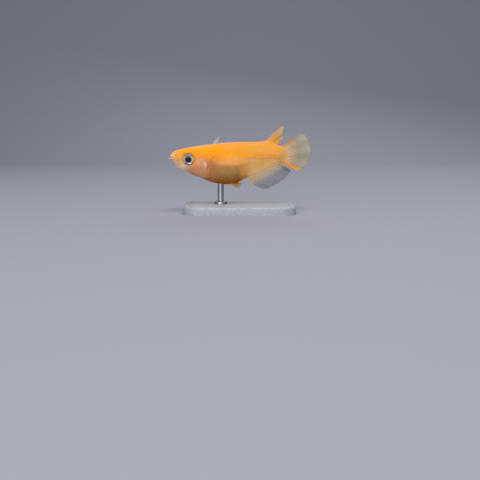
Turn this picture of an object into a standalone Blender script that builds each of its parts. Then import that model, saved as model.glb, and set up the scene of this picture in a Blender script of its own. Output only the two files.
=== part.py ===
"""A life-size orange ricefish, as a museum model on a small display stand. Metres, +Z up.

The fish lies along X, its head towards -X and its left side towards -Y. Sizes below are in
millimetres. Places along the fish are counted from the tip of the lower lip, and heights from
the fish's axis, a level line that runs just under the middle of the eyes.
"""

import math
from bisect import bisect_right

import bmesh
import bpy
from mathutils import Matrix, Vector

MM = 0.001

# The whole fish
LENGTH = 36.0
GAP = 0.3
BASE_THICKNESS = 2.0
FIN_CLEARANCE = 3.6
ANAL_FIN_DROP = 7.4
AXIS_HEIGHT = BASE_THICKNESS + FIN_CLEARANCE + ANAL_FIN_DROP

# Sections of the body: place along it, back, underside, half width, height of the widest
# point, and how square the upper and the lower half are (2 is an ellipse)
STATIONS = (
    (0.45, 1.50, 0.72, 0.80, 1.15, 2.2, 2.0),
    (0.95, 1.98, -0.12, 1.08, 1.20, 2.4, 2.0),
    (1.90, 2.48, -1.38, 1.46, 1.30, 2.7, 2.0),
    (3.40, 2.88, -2.15, 1.94, 1.40, 3.0, 2.0),
    (5.10, 3.25, -3.10, 2.27, 1.30, 3.1, 2.0),
    (8.00, 3.71, -4.27, 2.54, 0.80, 2.9, 2.1),
    (10.70, 4.05, -5.36, 2.68, 0.20, 2.6, 2.2),
    (13.60, 4.38, -5.94, 2.84, -0.60, 2.3, 2.3),
    (16.80, 4.57, -5.82, 2.58, -0.45, 2.1, 2.2),
    (19.60, 4.62, -4.36, 1.98, 0.50, 2.0, 1.9),
    (23.80, 4.66, -2.62, 1.38, 1.25, 2.0, 1.7),
    (26.20, 4.32, -1.50, 1.08, 1.35, 2.0, 1.7),
    (28.60, 3.52, -0.62, 0.80, 1.42, 2.0, 1.8),
    (30.60, 3.30, -0.40, 0.52, 1.42, 2.0, 2.0),
)
PLACE, BACK, UNDERSIDE, HALF_WIDTH, WIDEST, UPPER, LOWER = range(7)
RING_POINTS = 36
NOSE_RINGS = 3
NOSE_ROUNDING = 0.16
HEAD_RINGS = 20
TRUNK_RINGS = 26
HEAD_END = 10.4
VENT = 19.9

# Gill cover: its free rear edge in the side view, how far it stands proud of the shoulder, where
# it starts to, and the heights between which it does
GILL_EDGE = (
    (8.3, 5.6),
    (8.5, 3.3),
    (9.25, 1.9),
    (9.85, 0.2),
    (9.9, -1.8),
    (9.2, -3.4),
    (7.6, -4.6),
    (7.2, -6.2),
)
GILL_FLARE = 0.16
GILL_FLARE_FROM = 6.4
GILL_TOP = 3.3
GILL_BOTTOM = -4.6
GILL_FADE_TOP = 2.6
GILL_FADE = 1.2
GILL_STEPS = 14

# Mouth: its corner, the middle of each lip at the front, and the lower jaw's hinge line
MOUTH_CORNER = (1.95, 0.95)
MOUTH_HALF_WIDTH = 1.32
JAW_HINGE = (2.75, -2.6)
LOWER_LIP = (0.24, 0.42)
UPPER_LIP = (0.60, 1.30)
LIP_RADIUS = 0.23
LIP_SQUARENESS = 0.75
LIP_STEPS = 12
JAW_FRONT = -2.0
JAW_DEPTH = -4.0
LOWER_LIP_SUNK = 0.5
UPPER_LIP_SUNK = 0.2

# Eyes and nostrils
EYE_PLACE = (5.22, 1.52, 0.35)
EYE_RADIUS = 1.50
EYE_HALF_THICKNESS = 0.88
NOSTRIL_PLACE = (2.35, 1.28, 2.10)
NOSTRIL_RADIUS = 0.2

# The fleshy end of the tail, an arc that the caudal fin's rays stand on
TAIL_ARC_CENTRE = (27.7, 1.42)
TAIL_ARC_RADIUS = 2.42
TAIL_ARC_SPREAD = math.radians(63)
TAIL_ARC_SPARE = 0.13
TAIL_ARC_STEPS = 16

# Fins: a membrane with a rib along each ray, thinner towards the tips
WEB_HALF_THICKNESS = 0.25
RIB_HALF_THICKNESS = 0.33
TIP_SHARE = 0.5
STRIPS_PER_GAP = 3

# Middle fins: their rays, the ends of their bases along the fish, and their outer edges from the
# front, or on the caudal fin from the top, as places along and heights
DORSAL_RAYS = 6
DORSAL_ROWS = 6
DORSAL_BASE = (24.5, 27.15)
DORSAL_EDGE = ((29.0, 8.95), (29.2, 8.05), (28.75, 6.9), (29.15, 5.85), (28.4, 5.15), (27.75, 4.7))
DORSAL_CURL = (-0.1, 0.0, 0.1)
ANAL_RAYS = 19
ANAL_ROWS = 5
ANAL_BASE = (20.2, 27.9)
ANAL_CURL = (-0.4, 0.0, -0.25)
ANAL_EDGE = (
    (24.4, -ANAL_FIN_DROP),
    (26.1, -6.6),
    (27.7, -5.75),
    (29.1, -4.8),
    (30.3, -3.65),
    (31.15, -2.55),
)
CAUDAL_RAYS = 17
CAUDAL_ROWS = 6
CAUDAL_EDGE = (
    (33.0, 6.75),
    (34.35, 6.35),
    (35.2, 5.25),
    (35.75, 3.9),
    (LENGTH, 2.4),
    (35.75, 0.9),
    (35.2, -0.55),
    (34.3, -1.9),
    (32.6, -2.6),
)

# Paired fins: their rays, the ends of their bases, and three points of each outer edge as places
# along, places out to the side and heights. The left pectoral fin is spread to the side, and the
# right one is raised. The pelvic fins' bases are places along and out to the side.
PECTORAL_RAYS = 10
PECTORAL_ROWS = 5
PECTORAL_BASE = ((10.95, 1.05), (10.6, -0.30))
PECTORAL_CLEARANCE = GAP + 0.08
PECTORAL_BOW = (0.2, 0.3)
PECTORAL_EDGES = {
    "pectoral_fin_left": (-1, ((13.9, 6.8, 2.2), (13.2, 7.4, 0.9), (12.2, 7.2, -0.6))),
    "pectoral_fin_right": (1, ((12.75, 4.4, 6.15), (12.1, 5.0, 5.6), (11.1, 5.5, 4.8))),
}
PELVIC_RAYS = 6
PELVIC_ROWS = 4
PELVIC_BASE = ((15.9, 1.05), (16.9, 0.45))
PELVIC_EDGE = ((18.1, 1.45, -6.85), (18.35, 1.2, -6.35), (18.5, 0.85, -5.85))
PELVIC_CURL = (-0.06, 0.0, -0.08)
PELVIC_SIDES = {"pelvic_fin_left": -1, "pelvic_fin_right": 1}

# Stand
BASE_LENGTH = 28.0
BASE_WIDTH = 18.0
BASE_CORNER = 4.0
BASE_EDGE = 0.5
ROD_PLACE = 13.2
ROD_RADIUS = 0.75
COLLAR_RADIUS = 1.6
COLLAR_HEIGHT = 0.7
ROD_REACH = 1.0

# Heights and places well outside the fish, for the shapes that cut it
ABOVE, BELOW = 8.0, -8.0
BEFORE = -3.0

ORANGE = (0.90, 0.36, 0.04)
FIN_ORANGE = (0.62, 0.42, 0.20)
FIN_GREY = (0.42, 0.42, 0.46)
IRIS = (0.52, 0.55, 0.42)
STEEL = (0.55, 0.56, 0.58)
BASE_GREY = (0.30, 0.31, 0.33)


def place(along, side, height):
    """A point of the fish, in metres in the part's frame."""
    return Vector((along - LENGTH / 2, side, height + AXIS_HEIGHT)) * MM


def smooth(points, at):
    """Reads a smooth curve through (key, value) points where its key is at."""
    keys = [point[0] for point in points]
    last = len(points) - 1
    first = min(max(bisect_right(keys, at) - 1, 0), last - 1)

    def slope(index):
        before, after = max(index - 1, 0), min(index + 1, last)
        return (points[after][1] - points[before][1]) / (keys[after] - keys[before])

    width = keys[first + 1] - keys[first]
    share = (at - keys[first]) / width
    bend = share * share * (3 - 2 * share)
    leave = share * (1 - share) ** 2 * width * slope(first)
    arrive = share * share * (share - 1) * width * slope(first + 1)
    return points[first][1] * (1 - bend) + points[first + 1][1] * bend + leave + arrive


def body(along, column):
    """One column of STATIONS, anywhere along the fish."""
    return smooth([(row[PLACE], row[column]) for row in STATIONS], along)


def gill_edge(height):
    """How far back the gill cover reaches at this height."""
    edge = sorted((point[1], point[0]) for point in GILL_EDGE)
    return smooth(edge, height)


def flare(along, height):
    """How far the gill cover stands out from the plain body."""
    reach = gill_edge(max(min(height, GILL_TOP), GILL_BOTTOM))
    share = (along - GILL_FLARE_FROM) / (reach - GILL_FLARE_FROM)
    fade = min(max((GILL_FADE_TOP - height) / GILL_FADE, 0), 1)
    return GILL_FLARE * min(max(share, 0), 1) ** 2 * fade


def skin(along, angle, gill_cover=False):
    """A point of the body's surface. The angle is 0 at the back and pi at the underside."""
    up, out = math.cos(angle), math.sin(angle)
    widest = body(along, WIDEST)
    if up > 0:
        rise, power = body(along, BACK) - widest, 2 / body(along, UPPER)
    else:
        rise, power = widest - body(along, UNDERSIDE), 2 / body(along, LOWER)
    side = math.copysign(abs(out) ** power, out) * body(along, HALF_WIDTH)
    height = widest + math.copysign(abs(up) ** power, up) * rise
    if gill_cover:
        side += math.copysign(flare(along, height) * min(abs(out) * 2, 1), out)
    return side, height


def flank(along, height):
    """Half the body's width at this height."""
    widest = body(along, WIDEST)
    if height > widest:
        share, power = (height - widest) / (body(along, BACK) - widest), body(along, UPPER)
    else:
        share, power = (widest - height) / (widest - body(along, UNDERSIDE)), body(along, LOWER)
    return body(along, HALF_WIDTH) * (1 - min(share, 1) ** power) ** (1 / power)


def underside(along, out):
    """The height of the body's underside, this far out from its middle."""
    widest, power = body(along, WIDEST), body(along, LOWER)
    share = (1 - (out / body(along, HALF_WIDTH)) ** power) ** (1 / power)
    return widest - (widest - body(along, UNDERSIDE)) * share


def clear_scene():
    for old in list(bpy.data.objects):
        bpy.data.objects.remove(old, do_unlink=True)


def collection(name):
    made = bpy.data.collections.new(name)
    bpy.context.scene.collection.children.link(made)
    return made


def material(name, colour, roughness=0.4, metallic=0.0):
    made = bpy.data.materials.new(name)
    made.use_nodes = True
    shader = made.node_tree.nodes["Principled BSDF"]
    shader.inputs["Base Color"].default_value = (*colour, 1)
    shader.inputs["Roughness"].default_value = roughness
    shader.inputs["Metallic"].default_value = metallic
    return made


def to_object(bm, name, group, finish=None):
    """Turns a bmesh into an object of this collection, with its faces pointing out."""
    bmesh.ops.recalc_face_normals(bm, faces=bm.faces)
    mesh = bpy.data.meshes.new(name)
    bm.to_mesh(mesh)
    bm.free()
    made = bpy.data.objects.new(name, mesh)
    group.objects.link(made)
    if finish:
        mesh.materials.append(finish)
        mesh.shade_smooth()
        mesh.set_sharp_from_angle(angle=math.radians(40))
    return made


def cutter(bm, name):
    made = to_object(bm, name, CUTTERS)
    made.hide_render = True
    made.display_type = "WIRE"
    return made


def combine(target, tool, operation):
    """Applies one Boolean to the target's mesh."""
    step = target.modifiers.new(tool.name, "BOOLEAN")
    step.operation = operation
    step.solver = "EXACT"
    step.object = tool
    graph = bpy.context.evaluated_depsgraph_get()
    cut = bpy.data.meshes.new_from_object(target.evaluated_get(graph))
    target.modifiers.clear()
    target.data = cut
    tool.hide_viewport = True


def loft(gill_cover):
    """The body from snout to tail as one closed form: a sphere's rings set to its sections."""
    front, back = STATIONS[0][PLACE], STATIONS[-1][PLACE]
    rings = []
    for index in range(1, NOSE_RINGS + 1):
        turn = math.pi / 2 * index / (NOSE_RINGS + 1)
        rings.append((front, NOSE_ROUNDING * math.cos(turn), math.sin(turn)))
    for index in range(HEAD_RINGS):
        rings.append((front + (HEAD_END - front) * (index / HEAD_RINGS) ** 1.3, 0, 1))
    for index in range(TRUNK_RINGS + 1):
        rings.append((HEAD_END + (back - HEAD_END) * index / TRUNK_RINGS, 0, 1))
    bm = bmesh.new()
    bmesh.ops.create_uvsphere(bm, u_segments=RING_POINTS, v_segments=len(rings) + 1, radius=1)
    for vert in bm.verts:
        ring = round(math.acos(max(min(vert.co.z, 1), -1)) / math.pi * (len(rings) + 1)) - 1
        if ring < 0:
            vert.co = place(front - NOSE_ROUNDING, 0, body(front, WIDEST))
        elif ring == len(rings):
            vert.co = place(back + NOSE_ROUNDING, 0, body(back, WIDEST))
        else:
            along, ahead, share = rings[ring]
            side, height = skin(along, math.atan2(vert.co.y, vert.co.x), gill_cover)
            middle = body(along, WIDEST)
            vert.co = place(along - ahead, side * share, middle + (height - middle) * share)
    return bm


def prism(outline, name, half_width=12.0):
    """A closed outline in the side view, carried right across the fish."""
    bm = bmesh.new()
    face = bm.faces.new([bm.verts.new(place(x, -half_width, z)) for x, z in outline])
    sides = bmesh.ops.extrude_face_region(bm, geom=[face])
    moved = [item for item in sides["geom"] if isinstance(item, bmesh.types.BMVert)]
    bmesh.ops.translate(bm, verts=moved, vec=(0, 2 * half_width * MM, 0))
    return cutter(bm, name)


def gill_curve(shift):
    """The gill cover's edge as a line from top to bottom, moved along the fish."""
    top, bottom = GILL_EDGE[0][1], GILL_EDGE[-1][1]
    heights = [top + (bottom - top) * i / GILL_STEPS for i in range(GILL_STEPS + 1)]
    return [(gill_edge(height) + shift, height) for height in heights]


def jaw_outline(grow, front_height):
    """The side view of the lower jaw's room, from before the lips back to the hinge line."""
    corner, hinge = MOUTH_CORNER, JAW_HINGE
    return [
        (JAW_FRONT, front_height),
        (corner[0] + grow, corner[1] - GAP / 2 + grow),
        (hinge[0] + grow, hinge[1]),
        (hinge[0] + grow, JAW_DEPTH),
        (JAW_FRONT, JAW_DEPTH),
    ]


def lip(name, tip, corner_height):
    """A round lip along a jaw's rim, from one corner of the mouth round to the other."""
    curve = bpy.data.curves.new(name, "CURVE")
    curve.dimensions = "3D"
    curve.bevel_depth = LIP_RADIUS * MM
    curve.bevel_resolution = 1
    curve.use_fill_caps = True
    spline = curve.splines.new("POLY")
    spline.points.add(LIP_STEPS)
    for index, point in enumerate(spline.points):
        turn = math.pi * (index / LIP_STEPS - 0.5)
        back = 1 - math.cos(turn)
        out = math.copysign(abs(math.sin(turn)) ** LIP_SQUARENESS, turn)
        along = tip[0] + back * (MOUTH_CORNER[0] - tip[0])
        height = tip[1] + back * (corner_height - tip[1])
        point.co = (*place(along, out * MOUTH_HALF_WIDTH, height), 1)
    tube = bpy.data.objects.new(name, curve)
    CUTTERS.objects.link(tube)
    graph = bpy.context.evaluated_depsgraph_get()
    bm = bmesh.new()
    bm.from_mesh(bpy.data.meshes.new_from_object(tube.evaluated_get(graph)))
    bmesh.ops.remove_doubles(bm, verts=bm.verts, dist=0.01 * MM)
    bpy.data.objects.remove(tube)
    return cutter(bm, name)


def ball(centre, radii, points=24, rings=14):
    """A spheroid with its poles on the fish's left and right."""
    bm = bmesh.new()
    bmesh.ops.create_uvsphere(bm, u_segments=points, v_segments=rings, radius=1)
    bmesh.ops.rotate(bm, verts=bm.verts, matrix=Matrix.Rotation(math.pi / 2, 3, "X"))
    bmesh.ops.scale(bm, verts=bm.verts, vec=Vector(radii) * MM)
    bmesh.ops.translate(bm, verts=bm.verts, vec=place(*centre))
    return bm


def build_head(orange):
    head = to_object(loft(gill_cover=True), "head", FISH, orange)
    rear_edge = gill_curve(-GAP / 2)
    room = [(BEFORE, rear_edge[0][1]), *rear_edge, (BEFORE, rear_edge[-1][1])]
    combine(head, prism(room, "head_room"), "INTERSECT")
    jaw = to_object(loft(gill_cover=True), "lower_jaw", FISH, orange)
    room = jaw_outline(0, LOWER_LIP[1] - LOWER_LIP_SUNK)
    combine(jaw, prism(room, "jaw_room"), "INTERSECT")
    combine(jaw, lip("lower_lip", LOWER_LIP, MOUTH_CORNER[1] - GAP / 2 - LIP_RADIUS), "UNION")
    room = jaw_outline(GAP, UPPER_LIP[1] - UPPER_LIP_SUNK)
    combine(head, prism(room, "jaw_clearance"), "DIFFERENCE")
    combine(head, lip("upper_lip", UPPER_LIP, MOUTH_CORNER[1] + GAP / 2 + LIP_RADIUS), "UNION")
    for side, hand in ((-1, "left"), (1, "right")):
        nostril = (NOSTRIL_PLACE[0], side * NOSTRIL_PLACE[1], NOSTRIL_PLACE[2])
        pit = ball(nostril, [NOSTRIL_RADIUS] * 3, points=8, rings=6)
        combine(head, cutter(pit, "nostril_" + hand), "DIFFERENCE")
        socket = ball(eye_centre(side), eye_radii(GAP))
        combine(head, cutter(socket, "socket_" + hand), "DIFFERENCE")


def eye_centre(side):
    return (EYE_PLACE[0], side * EYE_PLACE[1], EYE_PLACE[2])


def eye_radii(grow):
    return (EYE_RADIUS + grow, EYE_HALF_THICKNESS + grow, EYE_RADIUS + grow)


def build_eyes():
    iris = material("iris", IRIS, roughness=0.1)
    to_object(ball(eye_centre(-1), eye_radii(0)), "eye_left", FISH, iris)
    to_object(ball(eye_centre(1), eye_radii(0)), "eye_right", FISH, iris)


def tail_arc(radius, share):
    """A point of the arc at the tail's end, from 0 at its top to 1 at its bottom."""
    angle = TAIL_ARC_SPREAD * (1 - 2 * share)
    centre = TAIL_ARC_CENTRE
    return centre[0] + radius * math.cos(angle), centre[1] + radius * math.sin(angle)


def build_trunk(orange):
    behind_gills = gill_curve(GAP / 2)
    torso_end = VENT - GAP / 2
    torso = to_object(loft(gill_cover=False), "torso", FISH, orange)
    room = [*behind_gills, (torso_end, BELOW), (torso_end, ABOVE), (behind_gills[0][0], ABOVE)]
    combine(torso, prism(room, "torso_room"), "INTERSECT")

    tail_start = VENT + GAP / 2
    tail = to_object(loft(gill_cover=False), "tail", FISH, orange)
    sweep = 1 + 2 * TAIL_ARC_SPARE
    steps = [sweep * i / TAIL_ARC_STEPS - TAIL_ARC_SPARE for i in range(TAIL_ARC_STEPS + 1)]
    arc = [tail_arc(TAIL_ARC_RADIUS, share) for share in steps]
    ends = [(tail_start, ABOVE), (arc[0][0], ABOVE)]
    room = [*ends, *arc, (arc[-1][0], BELOW), (tail_start, BELOW)]
    combine(tail, prism(room, "tail_room"), "INTERSECT")


def fin(name, roots, tips, rows, finish, bow=(0, 0, 0), curl=(0, 0, 0)):
    """A fin from its rays' roots and tips: one membrane, with a rib on both faces at each ray.

    The bow moves all the tips, and the curl moves the middles of the first rays.
    """
    strips = (len(roots) - 1) * STRIPS_PER_GAP
    bow, curl = Vector(bow) * MM, Vector(curl) * MM
    bm = bmesh.new()
    bmesh.ops.create_grid(bm, x_segments=strips, y_segments=rows, size=0.5)
    bmesh.ops.triangulate(bm, faces=bm.faces, quad_method="FIXED")
    spots = {}
    for vert in bm.verts:
        strip, row = round((vert.co.x + 0.5) * strips), round((vert.co.y + 0.5) * rows)
        ray = min(strip // STRIPS_PER_GAP, len(roots) - 2)
        between = strip / STRIPS_PER_GAP - ray
        out = row / rows
        here = roots[ray].lerp(tips[ray], out)
        beside = roots[ray + 1].lerp(tips[ray + 1], out)
        rib = strip % STRIPS_PER_GAP == 0
        half = (RIB_HALF_THICKNESS if rib else WEB_HALF_THICKNESS) * (1 - (1 - TIP_SHARE) * out)
        middle = here.lerp(beside, between) + bow * math.sin(math.pi / 2 * out) ** 2
        middle += curl * math.sin(math.pi * out) * (1 - strip / strips) ** 1.5
        spots[vert] = (middle, half * MM)
    for vert, (middle, _) in spots.items():
        vert.co = middle
    bm.normal_update()
    first = list(bm.verts)
    steps = [vert.normal * spots[vert][1] for vert in first]
    grown = bmesh.ops.extrude_face_region(bm, geom=bm.faces[:], use_keep_orig=True)
    second = [item for item in grown["geom"] if isinstance(item, bmesh.types.BMVert)]
    step_at = {rounded(vert.co): step for vert, step in zip(first, steps)}
    for vert in second:
        vert.co += step_at[rounded(vert.co)]
    for vert, step in zip(first, steps):
        vert.co -= step
    return to_object(bm, name, FISH, finish)


def rounded(point):
    """A point as a key that its copy has too."""
    return tuple(round(value, 9) for value in point)


def along_base(ends, count):
    """A row for each ray: its share of the way, then each value between that value's two ends."""
    ends = list(ends)
    shares = [index / (count - 1) for index in range(count)]
    return [(share, *(first + (last - first) * share for first, last in ends)) for share in shares]


def spread(line, count):
    """This many points, evenly in share, on a smooth curve through a few side-view points."""
    last = len(line) - 1
    xs = [(index / last, point[0]) for index, point in enumerate(line)]
    zs = [(index / last, point[1]) for index, point in enumerate(line)]
    shares = [index / (count - 1) for index in range(count)]
    return [place(smooth(xs, share), 0, smooth(zs, share)) for share in shares]


def build_median_fins(orange, grey):
    roots = []
    for _, along in along_base([DORSAL_BASE], DORSAL_RAYS):
        roots.append(place(along, 0, body(along, BACK) + GAP))
    tips = [place(x, 0, z) for x, z in DORSAL_EDGE]
    fin("dorsal_fin", roots, tips, DORSAL_ROWS, orange, curl=DORSAL_CURL)

    roots = []
    for _, along in along_base([ANAL_BASE], ANAL_RAYS):
        roots.append(place(along, 0, body(along, UNDERSIDE) - GAP))
    tips = spread(ANAL_EDGE, ANAL_RAYS)
    fin("anal_fin", roots, tips, ANAL_ROWS, grey, curl=ANAL_CURL)

    foot = TAIL_ARC_RADIUS + GAP
    arc = [tail_arc(foot, index / (CAUDAL_RAYS - 1)) for index in range(CAUDAL_RAYS)]
    roots = [place(x, 0, z) for x, z in arc]
    fin("caudal_fin", roots, spread(CAUDAL_EDGE, CAUDAL_RAYS), CAUDAL_ROWS, grey)


def build_paired_fins(orange, grey):
    for name, (side, edge) in PECTORAL_EDGES.items():
        roots, tips = [], []
        for share, along, height in along_base(zip(*PECTORAL_BASE), PECTORAL_RAYS):
            out = flank(along, height) + PECTORAL_CLEARANCE
            roots.append(place(along, side * out, height))
            tips.append(on_edge(edge, share, side))
        bow = (PECTORAL_BOW[0], side * PECTORAL_BOW[1], 0)
        fin(name, roots, tips, PECTORAL_ROWS, grey, bow)

    for name, side in PELVIC_SIDES.items():
        roots, tips = [], []
        for share, along, out in along_base(zip(*PELVIC_BASE), PELVIC_RAYS):
            foot = underside(along, out) - GAP - WEB_HALF_THICKNESS
            roots.append(place(along, side * out, foot))
            tips.append(on_edge(PELVIC_EDGE, share, side))
        fin(name, roots, tips, PELVIC_ROWS, orange, curl=PELVIC_CURL)


def on_edge(edge, share, side):
    """A point of the smooth curve through a paired fin's three outer points."""
    along, out, height = [
        smooth([(0, first), (0.5, second), (1, third)], share)
        for first, second, third in zip(*edge)
    ]
    return place(along, side * out, height)


def build_stand():
    grey = material("stand_plate", BASE_GREY, roughness=0.5)
    bm = bmesh.new()
    bmesh.ops.create_cube(bm, size=1)
    bmesh.ops.scale(bm, verts=bm.verts, vec=Vector((BASE_LENGTH, BASE_WIDTH, BASE_THICKNESS)) * MM)
    bmesh.ops.translate(bm, verts=bm.verts, vec=(0, 0, BASE_THICKNESS / 2 * MM))
    upright = [edge for edge in bm.edges if abs(edge.verts[0].co.z - edge.verts[1].co.z) > MM]
    bevel(bm, upright, BASE_CORNER, 6)
    top = BASE_THICKNESS * MM * 0.999
    rim = [edge for edge in bm.edges if all(vert.co.z > top for vert in edge.verts)]
    bevel(bm, rim, BASE_EDGE, 2)
    to_object(bm, "stand_base", FISH, grey)

    steel = material("stand_steel", STEEL, roughness=0.3, metallic=1.0)
    foot = BASE_THICKNESS + GAP - AXIS_HEIGHT
    top = body(ROD_PLACE, UNDERSIDE) + ROD_REACH
    rod = to_object(cylinder(ROD_RADIUS, foot, top), "stand_rod", FISH, steel)
    combine(rod, cutter(cylinder(COLLAR_RADIUS, foot, foot + COLLAR_HEIGHT), "collar"), "UNION")
    belly = loft(gill_cover=False)
    bmesh.ops.translate(belly, verts=belly.verts, vec=(0, 0, -GAP * MM))
    combine(rod, cutter(belly, "belly_clearance"), "DIFFERENCE")


def bevel(bm, edges, width, segments):
    bmesh.ops.bevel(
        bm,
        geom=edges,
        offset=width * MM,
        segments=segments,
        profile=0.5,
        affect="EDGES",
        material=-1,
    )


def cylinder(radius, bottom, top):
    bm = bmesh.new()
    bmesh.ops.create_cone(
        bm,
        cap_ends=True,
        segments=20,
        radius1=radius * MM,
        radius2=radius * MM,
        depth=(top - bottom) * MM,
    )
    bmesh.ops.translate(bm, verts=bm.verts, vec=place(ROD_PLACE, 0, (top + bottom) / 2))
    return bm


def build():
    orange = material("orange_skin", ORANGE, roughness=0.35)
    fin_orange = material("orange_fin", FIN_ORANGE, roughness=0.4)
    fin_grey = material("clear_fin", FIN_GREY, roughness=0.35)
    build_head(orange)
    build_eyes()
    build_trunk(orange)
    build_median_fins(fin_orange, fin_grey)
    build_paired_fins(fin_orange, fin_grey)
    build_stand()


clear_scene()
FISH = collection("ricefish")
CUTTERS = collection("cutters")
build()
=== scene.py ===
"""Looks of the orange ricefish museum model: skin, scales, eyes, fins, stand and studio.

It is laid out as a Blender add-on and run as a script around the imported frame. Metres, +Z up, the
fish's head towards -X and its left side towards -Y. The sizes of the fish are in millimetres, as
places along it from the tip of the lower lip, places out to its side, and heights above its axis.
"""

import math
from bisect import bisect_right
from functools import partial
from typing import NamedTuple

import bmesh
import bpy
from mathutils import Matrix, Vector


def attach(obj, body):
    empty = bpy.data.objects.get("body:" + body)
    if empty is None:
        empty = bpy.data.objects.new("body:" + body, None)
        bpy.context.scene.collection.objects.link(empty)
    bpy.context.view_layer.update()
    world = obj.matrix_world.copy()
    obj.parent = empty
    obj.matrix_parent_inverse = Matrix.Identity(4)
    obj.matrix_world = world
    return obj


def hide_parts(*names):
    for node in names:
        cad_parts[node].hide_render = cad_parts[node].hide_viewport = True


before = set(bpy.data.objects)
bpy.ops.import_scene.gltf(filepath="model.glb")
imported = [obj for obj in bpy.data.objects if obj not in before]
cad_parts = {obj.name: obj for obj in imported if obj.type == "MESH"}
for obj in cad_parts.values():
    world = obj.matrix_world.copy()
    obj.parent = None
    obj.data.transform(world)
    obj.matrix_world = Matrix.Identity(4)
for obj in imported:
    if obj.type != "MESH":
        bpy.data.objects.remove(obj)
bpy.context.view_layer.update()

bl_info = {
    "name": "Orange ricefish",
    "version": (1, 0, 0),
    "blender": (4, 5, 0),
    "location": "3D View > Sidebar > Ricefish",
    "description": "Builds the skin, scales, eyes, fins and stand of a life-size orange ricefish",
    "category": "Object",
}

MM = 0.001

# The frame of the fish: its length, and its axis above the table
LENGTH = 36.0
AXIS_HEIGHT = 13.0

# Sections of the body: place along it, back, underside, half width, height of the widest
# point, and how square the upper and the lower half are (2 is an ellipse)
STATIONS = (
    (0.45, 1.50, 0.72, 0.80, 1.15, 2.2, 2.0),
    (0.95, 1.98, -0.12, 1.08, 1.20, 2.4, 2.0),
    (1.90, 2.48, -1.38, 1.46, 1.30, 2.7, 2.0),
    (3.40, 2.88, -2.15, 1.94, 1.40, 3.0, 2.0),
    (5.10, 3.25, -3.10, 2.27, 1.30, 3.1, 2.0),
    (8.00, 3.71, -4.27, 2.54, 0.80, 2.9, 2.1),
    (10.70, 4.05, -5.36, 2.68, 0.20, 2.6, 2.2),
    (13.60, 4.38, -5.94, 2.84, -0.60, 2.3, 2.3),
    (16.80, 4.57, -5.82, 2.58, -0.45, 2.1, 2.2),
    (19.60, 4.62, -4.36, 1.98, 0.50, 2.0, 1.9),
    (23.80, 4.66, -2.62, 1.38, 1.25, 2.0, 1.7),
    (26.20, 4.32, -1.50, 1.08, 1.35, 2.0, 1.7),
    (28.60, 3.52, -0.62, 0.80, 1.42, 2.0, 1.8),
    (30.60, 3.30, -0.40, 0.52, 1.42, 2.0, 2.0),
)
BACK, UNDERSIDE, HALF_WIDTH, WIDEST, UPPER, LOWER = range(1, 7)
COLUMNS = {column: [(row[0], row[column]) for row in STATIONS] for column in range(1, 7)}
BODY_START = STATIONS[0][0]
BODY_END = STATIONS[-1][0]

# Gill cover: its free rear edge in the side view
GILL_EDGE = (
    (-6.2, 7.2),
    (-4.6, 7.6),
    (-3.4, 9.2),
    (-1.8, 9.9),
    (0.2, 9.85),
    (1.9, 9.25),
    (3.3, 8.5),
    (5.6, 8.3),
)
GILL_RING = 9.6
GILL_WARP_START = 4.5
GILL_WARP_END = 14.0
GILL_FLARE = 0.12
GILL_FLARE_FROM = 6.4
# The slit behind it: between which heights it opens, and between which shares of the girth it closes
SLIT_OPENS = (2.7, 1.3)
SLIT_CLOSES = (0.80, 0.94)
# The rings of the fold: place behind the edge, and how far out of the plain body
GILL_FOLD = (
    (0.00, 0.120),
    (0.06, 0.100),
    (0.08, 0.055),
    (0.05, 0.000),
    (0.05, -0.030),
    (0.13, -0.036),
    (0.23, -0.018),
    (0.34, 0.000),
)

# Mouth
MOUTH_CORNER = (1.95, 1.32, 0.95)
MOUTH_BACK = (1.7, 0.0, 0.98)
UPPER_LIP = (0.52, 1.23)
LOWER_LIP = (0.165, 0.50)
LIP_SQUARENESS = 0.75
LIP_RADIUS = 0.125
LIP_END_RADIUS = 0.055
LIP_PROFILE = (-150, -112, -76, -40, -5, 30, 65)
# Over which share of the girth the lips part at the mouth's corner, and how far, in end radii
CORNER_SPLIT = 0.05
CORNER_GAP = 1.2
# Steps ahead, in degrees and along the body, that show which way the lips and the snout run
LIP_STEP = 4
SNOUT_STEP = 0.15
MOUTH_RINGS = (0.3, 0.6, 0.85)
SNOUT_RINGS = 9
SNOUT_REACH = 0.75

# Rings of the skin in each stretch from the snout to the tail
FACE_RINGS = 36
COVER_RINGS = 62
SHOULDER_RINGS = 40
TRUNK_RINGS = 84
TAIL_ROUND_SHARES = (0.3, 0.55, 0.75, 0.9, 1.0)
TAIL_CLOSING_SHARES = (0.75, 0.5, 0.25)
TAIL_TIP_WIDTH = 0.03

# Eyes and nostrils
EYE_PLACE = (5.22, 1.91, 0.35)
EYE_RADIUS = 1.48
EYE_BULGE = 0.50
EYE_DEPTH = 0.60
EYE_TURN = 0.13
EYE_TILT = -0.10
# The painted highlight under the pupil: its place from the eye's middle, and half its length and
# height
PAINTED_GLINT_PLACE = (0.25, -0.95)
PAINTED_GLINT_SIZE = (0.55, 0.22)
# The iris, in eye radii: between which places it turns gold towards the back, silver towards the
# top and blue towards the bottom, then the pupil's edge, the ring round it and the dark rim
IRIS_GOLD = (-0.2, 0.5)
IRIS_SILVER = (0.28, 0.66)
IRIS_BLUE = (-0.40, -0.66)
PUPIL_EDGE = (0.57, 0.53)
PUPIL_RING = 0.58
PUPIL_RING_HALF_WIDTH = (0.05, 0.01)
IRIS_RIM = (0.92, 1.02)
# The eyeball: its segments, its bulge as a share of the cornea's, the lens as its height, radius
# and edge, and the iris's dip as its depth, radius and width
EYE_SEGMENTS = (56, 44)
EYE_DOME = 0.86
LENS = (0.05, 0.52, 0.10)
IRIS_DIP = (0.03, 0.74, 0.16)
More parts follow.
